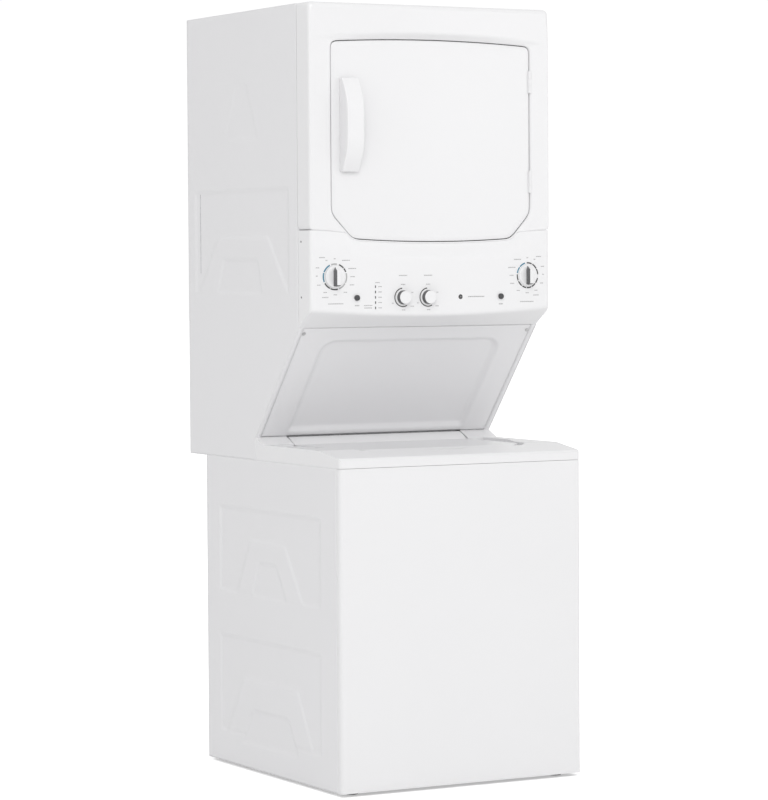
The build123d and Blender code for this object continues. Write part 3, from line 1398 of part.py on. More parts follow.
washer_cycle_knob = control_knob(*knob_places["washer_cycle_knob"], big_knob_radius, big_knob_height, 3.0)
washer_cycle_knob.part.label = "washer_cycle_knob"
export_step(washer_cycle_knob.part, "parts/washer_cycle_knob.step")
dryer_cycle_knob = control_knob(*knob_places["dryer_cycle_knob"], big_knob_radius, big_knob_height, 3.0)
dryer_cycle_knob.part.label = "dryer_cycle_knob"
export_step(dryer_cycle_knob.part, "parts/dryer_cycle_knob.step")
temperature_knob = control_knob(
    small_knob_places["temperature_knob"], small_knob_z, small_knob_radius, small_knob_height, 2.5)
temperature_knob.part.label = "temperature_knob"
export_step(temperature_knob.part, "parts/temperature_knob.step")
option_knob = control_knob(
    small_knob_places["option_knob"], small_knob_z, small_knob_radius, small_knob_height, 2.5)
option_knob.part.label = "option_knob"
export_step(option_knob.part, "parts/option_knob.step")

button_stand = 5.0
light_stand = 0.6


def start_button(x):
    """A round push button that stands out of the fascia."""
    front = control_front(x, button_radius)
    with BuildPart() as button:
        with BuildSketch(facing(front - button_stand)):
            with Locations((x, small_knob_z)):
                Circle(button_radius)
        extrude(amount=-(face_y + moulding + 1.0 - front + button_stand))
        fillet(button.faces().sort_by(Axis.Y)[0].edges(), radius=1.2)
    return button


washer_start_button = start_button(button_places["washer_start_button"])
washer_start_button.part.label = "washer_start_button"
export_step(washer_start_button.part, "parts/washer_start_button.step")
dryer_start_button = start_button(button_places["dryer_start_button"])
dryer_start_button.part.label = "dryer_start_button"
export_step(dryer_start_button.part, "parts/dryer_start_button.step")

with BuildPart() as status_lights:
    with BuildSketch(facing(control_front(light_x, 0.0) - light_stand)):
        with Locations(*light_points):
            Rectangle(*light_size)
    extrude(amount=-(moulding + 1.0 + light_stand))
status_lights.part.label = "status_lights"
export_step(status_lights.part, "parts/status_lights.step")

with BuildPart() as timers_and_switches:
    with BuildSketch(facing(timer_front_y)):
        with Locations(*knob_places.values()):
            Rectangle(64.0, 64.0)
        with Locations(*small_places):
            Rectangle(40.0, 40.0)
        with Locations((light_x, small_knob_z)):
            Rectangle(24.0, 70.0)
    extrude(amount=-timer_depth)
    with BuildSketch(facing(timer_front_y - 1.0)):
        with Locations(*knob_places.values(), *small_places):
            Circle(knob_shaft_radius + running_gap)
    extrude(amount=-(timer_depth + 2.0), mode=Mode.SUBTRACT)
    with BuildSketch(facing(face_y + moulding + 1.0 + button_travel + part_gap)):
        with Locations(*button_points):
            Rectangle(22.0, 30.0)
    extrude(amount=-18.0)
timers_and_switches.part.label = "timers_and_switches"
export_step(timers_and_switches.part, "parts/timers_and_switches.step")
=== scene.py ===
# %% [markdown]
# # A stacked washer and dryer
#
# A top-load washer stands on the floor and a front-load dryer stands on it, with a control fascia and a
# slanted access panel between them. The imported CAD model gives every body, joint and working part. This
# lesson adds what CAD leaves plain: pressed sheet metal with soft folds, moulded controls, printed dial
# rings and a finish for every part.
#
# The frame is loaded first, because every later piece takes its place from it.

# %% Load the frame
import json
import math

import bmesh
import bpy
import numpy as np
from mathutils import Matrix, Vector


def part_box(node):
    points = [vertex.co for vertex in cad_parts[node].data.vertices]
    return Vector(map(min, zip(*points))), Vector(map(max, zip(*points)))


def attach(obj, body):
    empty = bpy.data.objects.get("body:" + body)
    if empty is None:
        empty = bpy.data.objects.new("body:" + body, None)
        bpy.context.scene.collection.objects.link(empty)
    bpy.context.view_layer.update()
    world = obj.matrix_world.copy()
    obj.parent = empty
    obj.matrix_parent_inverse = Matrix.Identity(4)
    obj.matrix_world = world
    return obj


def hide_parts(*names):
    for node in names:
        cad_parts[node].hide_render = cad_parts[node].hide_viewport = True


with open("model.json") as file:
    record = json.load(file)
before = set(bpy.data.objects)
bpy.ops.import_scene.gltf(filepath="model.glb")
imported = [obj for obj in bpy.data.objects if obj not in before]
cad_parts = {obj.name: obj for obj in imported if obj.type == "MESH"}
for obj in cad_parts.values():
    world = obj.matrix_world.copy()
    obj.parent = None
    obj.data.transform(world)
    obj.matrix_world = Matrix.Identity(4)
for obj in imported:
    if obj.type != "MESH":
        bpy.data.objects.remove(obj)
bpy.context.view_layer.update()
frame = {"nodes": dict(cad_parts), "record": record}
nodes = frame["nodes"]
slot_of = {row["node"]: row["material_slot"] for row in frame["record"]["subparts"]}

# %% [markdown]
# ## Leading sizes
#
# All lengths are metres: X to the right, Y to the back and Z up, from the floor under the middle of the
# machine. The sizes are read from the boxes of the CAD parts, so a new piece always meets its neighbours.

# %% Sizes read from the frame
MM = 0.001
sheet_wall = 1.2 * MM


def low(node):
    """Lowest corner of a CAD part, as an array."""
    return np.array(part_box(node)[0])


def high(node):
    """Highest corner of a CAD part, as an array."""
    return np.array(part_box(node)[1])


half_width = high("dryer_top")[0]
top_z = high("dryer_top")[2]
washer_front_y = low("washer_deck")[1]
face_y = low("dryer_front_panel")[1]
side_front_y = low("dryer_side_left")[1]
back_y = high("dryer_side_left")[1]
slant_top_z = low("control_fascia")[2]
print("half width", round(half_width, 4), "face", round(face_y, 4), "fold", round(side_front_y, 4))

# %% [markdown]
# ## From a grid of points to a mesh
#
# Sheet metal and mouldings are smooth surfaces. Each one is worked out as a grid of points with rows and
# columns, and neighbouring points make four-sided faces. Whole arrays are computed at once. A grid that
# closes on itself joins its last column to its first.

# %% Grid helpers
def grid_faces(rows, columns, closed):
    """Four corners of each face: every point joins its right, upper right and upper neighbours. A closed
    grid wraps its last column round to the first."""
    r, c = np.meshgrid(np.arange(rows - 1), np.arange(columns if closed else columns - 1), indexing="ij")
    n = (c + 1) % columns
    corners = [r * columns + c, r * columns + n, (r + 1) * columns + n, (r + 1) * columns + c]
    return np.stack(corners, -1).reshape(-1, 4)


def soften(points, reach, axis, closed=False):
    """Rounds the folds of a grid along one axis: each point becomes the mean of its neighbours up to reach
    steps away, twice over. An open edge is continued by its own mirror image, so it stays in place."""
    if reach < 1:
        return points
    for _ in range(2):
        moved = np.moveaxis(points, axis, 0)
        if closed:
            padded = np.concatenate([moved[-reach:], moved, moved[:reach]])
        else:
            before = 2 * moved[:1] - moved[1:reach + 1][::-1]
            after = 2 * moved[-1:] - moved[-reach - 1:-1][::-1]
            padded = np.concatenate([before, moved, after])
        total = np.cumsum(np.concatenate([np.zeros_like(padded[:1]), padded]), axis=0)
        width = 2 * reach + 1
        points = np.moveaxis((total[width:] - total[:-width]) / width, 0, axis)
    return points


def spaced(stops, step):
    """Values along an axis about step apart that land on every stop."""
    parts = [np.linspace(a, b, max(2, int(round(abs(b - a) / step)) + 1))[:-1]
             for a, b in zip(stops, stops[1:])]
    return np.concatenate(parts + [np.array(stops[-1:])])


def along(path, step):
    """Points about step apart along straight runs between the given points, so a profile is even."""
    path = np.asarray(path, float)
    runs = [np.linspace(a, b, max(2, int(round(np.linalg.norm(b - a) / step)) + 1))[:-1]
            for a, b in zip(path, path[1:])]
    return np.concatenate(runs + [path[-1:]])


def ramp(x, start, end):
    """A smooth step: 0 up to start, 1 from end on, and 3t squared less 2t cubed between them."""
    t = np.clip((x - start) / (end - start), 0.0, 1.0)
    return t * t * (3.0 - 2.0 * t)


def mesh_piece(name, points, faces, material, body, stands_for=(), wall=0.0):
    """One mesh object at the origin with smooth shading, riding on a body. With a wall it is a sheet that
    gets its thickness on the inside. A piece that stands for CAD parts hides them."""
    mesh = bpy.data.meshes.new(name)
    corners = np.asarray(points, float).reshape(-1, 3).tolist()
    mesh.from_pydata(corners, [], [list(map(int, face)) for face in faces])
    mesh.validate()
    mesh.polygons.foreach_set("use_smooth", np.ones(len(mesh.polygons), bool))
    mesh.materials.append(material)
    obj = bpy.data.objects.new(name, mesh)
    bpy.context.scene.collection.objects.link(obj)
    if wall:
        shell = obj.modifiers.new("sheet thickness", "SOLIDIFY")
        shell.thickness = wall
        shell.offset = -1.0
    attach(obj, body)
    if stands_for:
        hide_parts(*stands_for)
    print(name, len(mesh.polygons), "faces")
    return obj


print("helpers ready")

# %% [markdown]
# ## Finishes
#
# Four effects are shared, so each is a node group with named sockets, built once. Mottle is a slow change of
# tone, as any large painted panel has. Orange peel is the fine ripple of sprayed enamel. Brushing is noise
# drawn out along one axis. Spangle is the crystal pattern of zinc. A group puts out values only, and the
# Principled shader stays in each material. All patterns read Object coordinates, which are metres here.

# %% Shared node groups
def new_group(name, inputs, outputs):
    """An empty shader node group. Inputs are (name, default) pairs, and a default of None is a vector."""
    group = bpy.data.node_groups.new(name, "ShaderNodeTree")
    for label, default in inputs:
        kind = "NodeSocketVector" if default is None else "NodeSocketFloat"
        made = group.interface.new_socket(name=label, in_out="INPUT", socket_type=kind)
        if default is not None:
            made.default_value = default
    for label in outputs:
        group.interface.new_socket(name=label, in_out="OUTPUT", socket_type="NodeSocketFloat")
    return group, group.nodes.new("NodeGroupInput"), group.nodes.new("NodeGroupOutput")


def noise_group(name, detail, roughness, stretch=None):
    """Noise of a given Scale, made stronger or weaker about its middle by Contrast: 0.5 + (noise - 0.5) x
    Contrast. A stretch multiplies the coordinates first, which draws the noise out."""
    group, source, result = new_group(name, [("Vector", None), ("Scale", 10.0), ("Contrast", 1.0)], ["Value"])
    make, link = group.nodes.new, group.links.new
    noise = make("ShaderNodeTexNoise")
    noise.inputs["Detail"].default_value = detail
    noise.inputs["Roughness"].default_value = roughness
    vector = source.outputs["Vector"]
    if stretch:
        drawn = make("ShaderNodeMapping")
        drawn.inputs["Scale"].default_value = stretch
        link(vector, drawn.inputs["Vector"])
        vector = drawn.outputs["Vector"]
    link(vector, noise.inputs["Vector"])
    link(source.outputs["Scale"], noise.inputs["Scale"])
    centred = make("ShaderNodeMath")
    centred.operation = "SUBTRACT"
    centred.inputs[1].default_value = 0.5
    scaled = make("ShaderNodeMath")
    scaled.operation = "MULTIPLY_ADD"
    scaled.inputs[2].default_value = 0.5
    link(noise.outputs["Fac"], centred.inputs[0])
    link(centred.outputs[0], scaled.inputs[0])
    link(source.outputs["Contrast"], scaled.inputs[1])
    link(scaled.outputs[0], result.inputs["Value"])
    return group


mottle = noise_group("mottle", 3.0, 0.5)
orange_peel = noise_group("orange_peel", 1.0, 0.4)
brushed_x = noise_group("brushed_along_x", 4.0, 0.6, (0.03, 1.0, 1.0))
brushed_z = noise_group("brushed_along_z", 4.0, 0.6, (1.0, 1.0, 0.03))


def crystal_group():
    """Zinc spangle: each Voronoi cell has one random value, which is the tone of one crystal."""
    group, source, result = new_group("spangle", [("Vector", None), ("Scale", 90.0)], ["Tone", "Edge"])
    make, link = group.nodes.new, group.links.new
    cells = make("ShaderNodeTexVoronoi")
    tone = make("ShaderNodeSeparateColor")
    link(source.outputs["Vector"], cells.inputs["Vector"])
    link(source.outputs["Scale"], cells.inputs["Scale"])
    link(cells.outputs["Color"], tone.inputs["Color"])
    link(tone.outputs["Red"], result.inputs["Tone"])
    link(cells.outputs["Distance"], result.inputs["Edge"])
    return group


spangle = crystal_group()
print(len(bpy.data.node_groups), "shared effects")

# %% [markdown]
# A finish is the Principled shader with a tone that drifts between two colours, a roughness that drifts
# between two values, and a fine relief through a Bump node. One function lays these out, and every finish
# below calls it with its own group, scale and strengths.

# %% The finish recipe
def finish(name, dark, light, rough, tone=(mottle, 3.0, 0.8), relief=(orange_peel, 450.0, 1.0, 0.02, 0.0004),
           metallic=0.0, coat=0.0, coat_rough=0.1, specular=0.5):
    """A material: colour between dark and light, roughness between two values, relief from a group.
    tone is (group, scale, contrast) and relief is (group, scale, contrast, strength, distance)."""
    material = bpy.data.materials.new(name)
    material.use_nodes = True
    tree = material.node_tree
    make, link = tree.nodes.new, tree.links.new
    shader = tree.nodes["Principled BSDF"]
    shader.inputs["Metallic"].default_value = metallic
    shader.inputs["Coat Weight"].default_value = coat
    shader.inputs["Coat Roughness"].default_value = coat_rough
    shader.inputs["Specular IOR Level"].default_value = specular
    place = make("ShaderNodeTexCoord")

    def use(group, **values):
        node = make("ShaderNodeGroup")
        node.node_tree = group
        link(place.outputs["Object"], node.inputs["Vector"])
        for key, value in values.items():
            if key in node.inputs:
                node.inputs[key].default_value = value
        return node

    drift = use(tone[0], Scale=tone[1], Contrast=tone[2])
    blend = make("ShaderNodeMix")
    blend.data_type = "RGBA"
    blend.inputs["A"].default_value = (*dark, 1.0)
    blend.inputs["B"].default_value = (*light, 1.0)
    link(drift.outputs[0], blend.inputs["Factor"])
    link(blend.outputs["Result"], shader.inputs["Base Color"])
    polish = make("ShaderNodeMapRange")
    polish.inputs["To Min"].default_value = rough[0]
    polish.inputs["To Max"].default_value = rough[1]
    link(drift.outputs[0], polish.inputs["Value"])
    link(polish.outputs["Result"], shader.inputs["Roughness"])
    height = use(relief[0], Scale=relief[1], Contrast=relief[2])
    bump = make("ShaderNodeBump")
    bump.inputs["Strength"].default_value = relief[3]
    bump.inputs["Distance"].default_value = relief[4]
    link(height.outputs[0], bump.inputs["Height"])
    link(bump.outputs["Normal"], shader.inputs["Normal"])
    return material


def grey(value, red=0.0, blue=0.0):
    """A grey with a small push towards red or blue."""
    return (value + red, value, value + blue)


enamel = finish("white_enamel", grey(0.79, 0.002, 0.008), grey(0.81, 0.002, 0.008), (0.26, 0.32),
                relief=(orange_peel, 520.0, 1.0, 0.05, 0.0003), coat=0.35, coat_rough=0.12)
side_enamel = finish("side_enamel", grey(0.77, 0.003, 0.012), grey(0.79, 0.003, 0.012), (0.36, 0.44),
                     relief=(orange_peel, 420.0, 1.2, 0.10, 0.0004), coat=0.15, coat_rough=0.25)
moulded_white = finish("moulded_white", grey(0.80, 0.002, 0.008), grey(0.82, 0.002, 0.008), (0.30, 0.36),
                       relief=(orange_peel, 900.0, 1.0, 0.05, 0.0002), specular=0.45)
galvanized = finish("galvanized", grey(0.42, blue=0.015), grey(0.62, blue=0.02), (0.32, 0.52),
                    tone=(spangle, 110.0, 1.0), relief=(orange_peel, 300.0, 1.0, 0.08, 0.0003), metallic=0.9)
stainless = finish("stainless", grey(0.52), grey(0.66), (0.24, 0.36), tone=(brushed_x, 700.0, 1.6),
                   relief=(brushed_x, 900.0, 1.0, 0.10, 0.0002), metallic=1.0)
basket_enamel = finish("basket_enamel", grey(0.50, blue=0.02), grey(0.70, blue=0.03), (0.20, 0.30),
                       tone=(mottle, 900.0, 3.5), relief=(orange_peel, 260.0, 1.0, 0.08, 0.0004), coat=0.5)
grey_plastic = finish("grey_plastic", grey(0.44, blue=0.01), grey(0.52, blue=0.015), (0.42, 0.55),
                      relief=(mottle, 1400.0, 1.0, 0.12, 0.0003))
agitator_white = finish("agitator_white", grey(0.66, blue=0.01), grey(0.74, blue=0.015), (0.34, 0.45),
                        relief=(mottle, 900.0, 1.0, 0.08, 0.0003))
aluminium = finish("cast_aluminium", grey(0.40), grey(0.55), (0.45, 0.62), tone=(mottle, 60.0, 2.0),
                   relief=(mottle, 700.0, 1.2, 0.35, 0.0004), metallic=0.9)
steel = finish("turned_steel", grey(0.32), grey(0.46), (0.26, 0.40), tone=(brushed_z, 400.0, 1.8),
               relief=(brushed_z, 900.0, 1.0, 0.12, 0.0002), metallic=1.0)
rubber = finish("rubber", grey(0.022), grey(0.040), (0.62, 0.80), relief=(mottle, 1100.0, 1.0, 0.25, 0.0004),
                specular=0.3)
dark_plastic = finish("dark_plastic", grey(0.045, blue=0.003), grey(0.062, blue=0.004), (0.36, 0.46),
                      relief=(mottle, 1500.0, 1.0, 0.10, 0.0003))
ink_teal = finish("ink_teal", (0.055, 0.20, 0.30), (0.075, 0.25, 0.36), (0.42, 0.50))
ink_dark = finish("ink_dark", grey(0.055), grey(0.085), (0.42, 0.50))
ink_pale = finish("ink_pale", grey(0.40), grey(0.48), (0.42, 0.50))
print(len(bpy.data.materials), "finishes")

# %% [markdown]
# The record gives each CAD part a material slot. Parts whose CAD shape is already right keep it and only
# get their finish here.

# %% Finishes on the CAD parts
finish_of = {"white_enamel": enamel, "white_plastic": moulded_white, "galvanized": galvanized,
             "stainless": stainless, "basket_enamel": basket_enamel, "grey_plastic": grey_plastic,
             "aluminium": aluminium, "steel": steel, "rubber": rubber, "dark_plastic": dark_plastic}
own_finish = {"agitator": agitator_white, "status_lights": ink_dark, "door_hinges": enamel,
              "hinge_knuckles": enamel}
for side in ("washer_side_left", "washer_side_right", "dryer_side_left", "dryer_side_right",
             "washer_back_panel"):
    own_finish[side] = side_enamel
for node, obj in nodes.items():
    material = own_finish.get(node, finish_of[slot_of[node]])
    for index in range(max(1, len(obj.material_slots))):
        if obj.material_slots:
            obj.material_slots[index].material = material
        else:
            obj.data.materials.append(material)
print("every CAD part has a finish")

# %% [markdown]
# ## The dryer's bowed front
#
# The dryer front is one deep pressing. It bows forward at mid width, and above the door it turns back under
# itself to a flat door plane, which makes a brow. The fascia below bows the same way. Both pieces, the door
# and its pocket share one outline and one bow, so these are written once as functions.
#
# The door outline is a run of points with straight sides, a slightly arched top and bottom and slanting lower
# corners. Averaging along the run rounds every corner. Around a centre point each direction meets the outline
# once, so distance as a function of direction describes it fully.

# %% Bow and door outline
door_mid = np.array([0.0025, 1.5865])
door_half_width, door_top_z, door_bottom_z = 281.5 * MM, 1834 * MM, 1339 * MM
door_crown, door_sag = 9 * MM, 7.5 * MM
cut_rise, cut_run = 69 * MM, 56.5 * MM
seam_side_z, seam_drop = 1367 * MM, 8 * MM
face_bow = 12 * MM
brow_height = 18 * MM
door_gap = 3 * MM


def bow(x):
    """How far the front stands forward at x: a parabola, greatest in the middle and nothing at the sides."""
    return face_bow * (1.0 - (x / half_width) ** 2)


def offset_run(run, grow):
    """A closed run of points moved outwards by grow along its own normal."""
    tangent = np.roll(run, -1, axis=0) - np.roll(run, 1, axis=0)
    tangent /= np.linalg.norm(tangent, axis=1, keepdims=True)
    return run + grow * np.stack([tangent[:, 1], -tangent[:, 0]], 1)


def door_run():
    """The door outline about its centre: arched top and bottom, straight sides, cut lower corners."""
    w, top, low = door_half_width, door_top_z - door_mid[1], door_bottom_z - door_mid[1]
    x = np.linspace(-1.0, 1.0, 41)
    bottom = np.stack([x * (w - cut_run), low + door_sag * x ** 2], 1)
    arch = np.stack([-x * w, top - door_crown * x ** 2], 1)
    corners = np.concatenate([bottom, [[w, low + cut_rise]], arch, [[-w, low + cut_rise]], bottom[:1]])
    return soften(along(corners, 1.0 * MM)[:-1], 12, 0, closed=True)


door_points = door_run()


def reach(angles, grow=0.0, run=None):
    """Distance from the door's centre to an outline in each direction, read off the run by interpolation."""
    run = offset_run(door_points, grow) if run is None else run
    turn = np.arctan2(run[:, 1], run[:, 0])
    order = np.argsort(turn)
    return np.interp(angles, turn[order], np.hypot(run[:, 0], run[:, 1])[order], period=2 * math.pi)


def seam_z(x):
    """Height of the seam between dryer front and fascia, a little higher at one side than the middle."""
    return seam_side_z - seam_drop * (1.0 - ramp(np.abs(x), 0.19, 0.335))


print("door outline has", len(door_points), "points")

# %% [markdown]
# The front pressing is a ring: columns go round the door by direction, and rows go from the back edge of the
# side return, over the outer fold, across the face, down the pocket wall and along the pocket floor to the
# loading opening. Averaging along the rows turns the sharp folds into rounded ones, wider along the top edge
# than at the sides.

# %% Dryer front pressing
ring_steps = 900
ring = np.linspace(-math.pi, math.pi, ring_steps, endpoint=False)
direction = np.stack([np.cos(ring), np.sin(ring)], 1)
pocket_depth = 25 * MM
collar_back = 48 * MM


def outer_reach(angles):
    """Distance to the pressing's outer edge: the cabinet with rounded top corners and the seam below."""
    x = np.linspace(-1.0, 1.0, 341) * half_width
    seam = np.stack([x, seam_z(x) + 0.4 * MM], 1)
    corners = np.concatenate([seam, [[half_width, top_z], [-half_width, top_z]], seam[:1]])
    run = soften(along(corners, 1.0 * MM)[:-1], 8, 0, closed=True)
    run[:, 0] = np.clip(run[:, 0], -half_width, half_width)
    return reach(angles, run=run - door_mid)


def opening_reach(angles):
    """Distance to the loading opening, a 440 x 400 mm rectangle with 130 mm corners about its own centre."""
    w, h, r = 220 * MM, 200 * MM, 130 * MM
    corner = np.linspace(0.0, math.pi / 2, 40)
    arcs = [np.stack([sx * (w - r) + r * np.cos(corner + q), sz * (h - r) + r * np.sin(corner + q)], 1)
            for q, sx, sz in ((0, 1, 1), (math.pi / 2, -1, 1), (math.pi, -1, -1), (1.5 * math.pi, 1, -1))]
    run = along(np.concatenate(arcs + [arcs[0][:1]]), 2 * MM)[:-1] + np.array([-0.0025, -0.0015])
    return reach(angles, run=run)


def front_depth(x, z):
    """Y of the face: the flat door plane less the bow, which fades out below the brow and beside the door."""
    above = ramp(z, door_top_z - door_crown * (x / door_half_width) ** 2 + 4 * MM,
                 door_top_z + brow_height - 10 * MM * (x / door_half_width) ** 2)
    return face_y - bow(x) * above


inside = reach(ring, door_gap)
outside = np.maximum(outer_reach(ring), inside + 1.4 * MM)
mouth = opening_reach(ring)
rows = []
for t in np.linspace(0.0, 1.0, 17)[:-1]:
    rows.append((outside, side_front_y + (face_y - side_front_y) * t + 0 * ring, 0))
for t in np.linspace(0.0, 1.0, 41):
    rows.append((outside + (inside - outside) * t, None, 1))
for t in np.linspace(0.0, 1.0, 10)[1:]:
    rows.append((inside, face_y + pocket_depth * t + 0 * ring, 2))
for t in np.linspace(0.0, 1.0, 12)[1:]:
    rows.append((inside + (mouth - inside) * t, face_y + pocket_depth + 0 * ring, 3))
for t in np.linspace(0.0, 1.0, 7)[1:]:
    rows.append((mouth, face_y + pocket_depth + (collar_back - pocket_depth) * t + 0 * ring, 4))
front = np.zeros((len(rows), ring_steps, 3))
for row, (distance, depth, _) in enumerate(rows):
    x = door_mid[0] + direction[:, 0] * distance
    z = door_mid[1] + direction[:, 1] * distance
    front[row] = np.stack([x, front_depth(x, z) if depth is None else depth, z], 1)
print("front pressing grid", front.shape)

# %% Round its folds and make the mesh
sharp = front.copy()
narrow = soften(front, 1, 0)
wide = soften(front, 3, 0)
top_share = ramp(direction[:, 1], 0.55, 0.75)[None, :, None] * (np.arange(len(rows)) < 26)[:, None, None]
front = narrow + (wide - narrow) * top_share
front[0] = sharp[0]
front[-1] = sharp[-1]
# A dark material for painted shade in the door's pocket.
gap_shade = finish("pocket_painted_shade", grey(0.13), grey(0.17), (0.6, 0.7), relief=(mottle, 900.0, 1.0, 0.1, 0.0003))
front_faces = grid_faces(len(rows), ring_steps, True)[:, ::-1]
dryer_front = mesh_piece("dryer_front_pressing", front, front_faces, enamel, "cabinet",
                         ("dryer_front_panel",), wall=sheet_wall)
# Painted shade: the deeper part of the pocket wall and the edge of its floor, which are these rows of the
# grid, get a dark material that stands in for the shade in the gap round the door, so the gap reads as a
# line.
gap_shade_first, gap_shade_last = 59, 66
dryer_front.data.materials.append(gap_shade)
face_row = np.arange(len(dryer_front.data.polygons)) // ring_steps
painted_shade = (face_row >= gap_shade_first) & (face_row <= gap_shade_last)
dryer_front.data.polygons.foreach_set("material_index", painted_shade.astype(np.int32))
print("lined faces", int(painted_shade.sum()))

# %% [markdown]
# ## Door
#
# The door is a shallow pan with a rolled edge. Its grid runs from the middle of the face out to the outline,
# round the edge and back to the middle behind, so it is a closed shell. The face is a little crowned, which
# keeps a large white panel from looking like a flat card.

# %% Door skin
door_skin_back = high("door_outer")[1]
edge_roll = 2.5 * MM
crown = 1.2 * MM


def merged(obj):
    """Joins points that lie on each other, such as the centre of a round grid, so the shell is closed."""
    work = bmesh.new()
    work.from_mesh(obj.data)
    bmesh.ops.remove_doubles(work, verts=work.verts, dist=1e-6)
    bmesh.ops.recalc_face_normals(work, faces=work.faces)
    work.to_mesh(obj.data)
    work.free()
    return obj


edge = reach(ring)
rim = 39
rows = [(edge * t, face_y + crown * t ** 2 + 0 * ring) for t in np.linspace(0.0, 1.0, rim + 1)]
rows += [(edge, face_y + crown + (door_skin_back - face_y - crown) * t + 0 * ring)
         for t in np.linspace(0.0, 1.0, 9)[1:]]
rows += [(edge * t, door_skin_back + 0 * ring) for t in np.linspace(1.0, 0.0, 12)[1:]]
shell = np.stack([np.stack([door_mid[0] + direction[:, 0] * d, y, door_mid[1] + direction[:, 1] * d], 1)
                  for d, y in rows])
# The edge is broken: the row inside the rim moves out to edge_roll from it, and the rim moves back by
# edge_back and in by edge_share of its distance from the middle.
edge_back, edge_share = 0.7 * MM, 0.0025
shell[rim - 1] = shell[rim] + (shell[rim - 1] - shell[rim]) * (edge_roll / (edge / rim))[:, None]
shell[rim, :, 1] += edge_back
shell[rim, :, [0, 2]] += ((door_mid[:, None] - shell[rim][:, [0, 2]].T) * edge_share)
door_face = merged(mesh_piece("door_face", shell, grid_faces(len(rows), ring_steps, True), enamel,
                              "dryer_door", ("door_outer",)))

# %% [markdown]
# ## Handle
#
# The handle is one moulding: a bar that bows away from the door, closed by a thin wall on its left. Each
# cross-section is the same closed run of points, and only two numbers change along its height: how far the
# bar stands off and how far back its inner side lies.

# %% Bowed handle
handle_low, handle_high = low("door_handle"), high("door_handle")
stand_max = face_y - handle_low[1]
stand_end, bend_length, bar = 12 * MM, 82 * MM, 9 * MM
foot, wall_left = 24 * MM, 3 * MM
heights = spaced([handle_low[2], handle_high[2]], 2.5 * MM)
from_end = np.minimum(heights - handle_low[2], handle_high[2] - heights)
bend = math.pi / 2 * np.clip(from_end / bend_length, 0, 1)
stand = stand_end + (stand_max - stand_end) * np.sin(bend) ** 0.9
stand = soften(stand[:, None], 4, 0)[:, 0]
behind = np.clip((stand - bar) * ramp(from_end, foot, foot + 22 * MM), 0.0, None)
handle_rows = []
for height, out, inner in zip(heights, stand, behind):
    left, right, y = handle_low[0], handle_high[0], face_y + 1.0 * MM
    pieces = [((left, y), (left, face_y - out), 40), ((left, face_y - out), (right, face_y - out), 60),
              ((right, face_y - out), (right, face_y - inner), 30),
              ((right, face_y - inner), (left + wall_left, face_y - inner), 50),
              ((left + wall_left, face_y - inner), (left + wall_left, y), 30),
              ((left + wall_left, y), (left, y), 10)]
    run = np.concatenate([np.linspace(a, b, n + 1)[:-1] for a, b, n in pieces])
    run = soften(run, 3, 0, closed=True)
    handle_rows.append(np.stack([run[:, 0], run[:, 1], np.full(len(run), height)], 1))
handle_grid = np.stack(handle_rows)
samples = handle_grid.shape[1]
caps = [list(range(samples))[::-1], list(range((len(heights) - 1) * samples, len(heights) * samples))]
handle_faces = grid_faces(len(heights), samples, True).tolist() + caps
door_pull = merged(mesh_piece("door_pull", handle_grid, handle_faces, moulded_white, "dryer_door",
                              ("door_handle",)))
edge_round = door_pull.modifiers.new("rounded ends", "BEVEL")
edge_round.width = 1.2 * MM
edge_round.segments = 2
edge_round.limit_method = "ANGLE"
edge_round.angle_limit = math.radians(50)

# %% [markdown]
# ## Control fascia
#
# A vertical profile carried along the plan outline: from the left side's back edge, round the corner, across
# the bowed front and back along the right side. The profile drops from the seam or from the door's pocket,
# swells forward just below the door, rolls under at the bottom edge and slopes back to the access panel.

# %% Fascia shell
sag_z, side_rise = 1155 * MM, 15 * MM
swell = 43 * MM
plan = along([(-half_width, side_front_y), (-half_width, face_y), (half_width, face_y),
              (half_width, side_front_y)], 3.0 * MM)
on_side = np.abs(plan[:, 1] - face_y) > 1e-9
plan = soften(plan, 1, 0)
lower = offset_run(door_points, door_gap + 1.7 * MM) + door_mid
lower = lower[lower[:, 1] < door_bottom_z + 0.075]
lower = lower[np.argsort(lower[:, 0])]
pocket_z = np.interp(plan[:, 0], lower[:, 0], lower[:, 1], left=9.0, right=9.0)
seam_here = seam_z(plan[:, 0]) - 0.4 * MM
fascia_top = np.minimum(seam_here, pocket_z)
bottom = sag_z + side_rise * (plan[:, 0] / half_width) ** 2
side_share = np.clip((plan[:, 1] - face_y) / (side_front_y - face_y), 0, 1)
bottom = bottom + (slant_top_z + 0.5 * MM - bottom) * side_share
levels = []
for t in np.linspace(0.0, 1.0, 76):
    z = fascia_top + (bottom - fascia_top) * t
    forward = bow(plan[:, 0]) * ramp(fascia_top - z, 0.0, swell) * (~on_side)
    levels.append(np.stack([plan[:, 0], plan[:, 1] - forward, z], 1))
target = np.stack([np.clip(plan[:, 0], -half_width + 2 * MM, half_width - 2 * MM),
                   np.full(len(plan), side_front_y), np.full(len(plan), slant_top_z + 0.5 * MM)], 1)
for t in np.linspace(0.0, 1.0, 30)[1:]:
    levels.append(levels[75] + (target - levels[75]) * t)
fascia_grid = np.stack(levels)
fascia_grid = soften(fascia_grid, 2, 0)
fascia_grid = soften(fascia_grid, 1, 1)
inward = fascia_grid[:1].copy()
inward[0, :, 1] = np.minimum(inward[0, :, 1] + 9 * MM, side_front_y)
inward[0, :, 0] *= 0.985
fascia_grid = np.concatenate([inward, fascia_grid])
fascia = mesh_piece("fascia_shell", fascia_grid, grid_faces(len(fascia_grid), len(plan), False)[:, ::-1],
                    moulded_white, "cabinet", ("control_fascia",), wall=2.0 * MM)

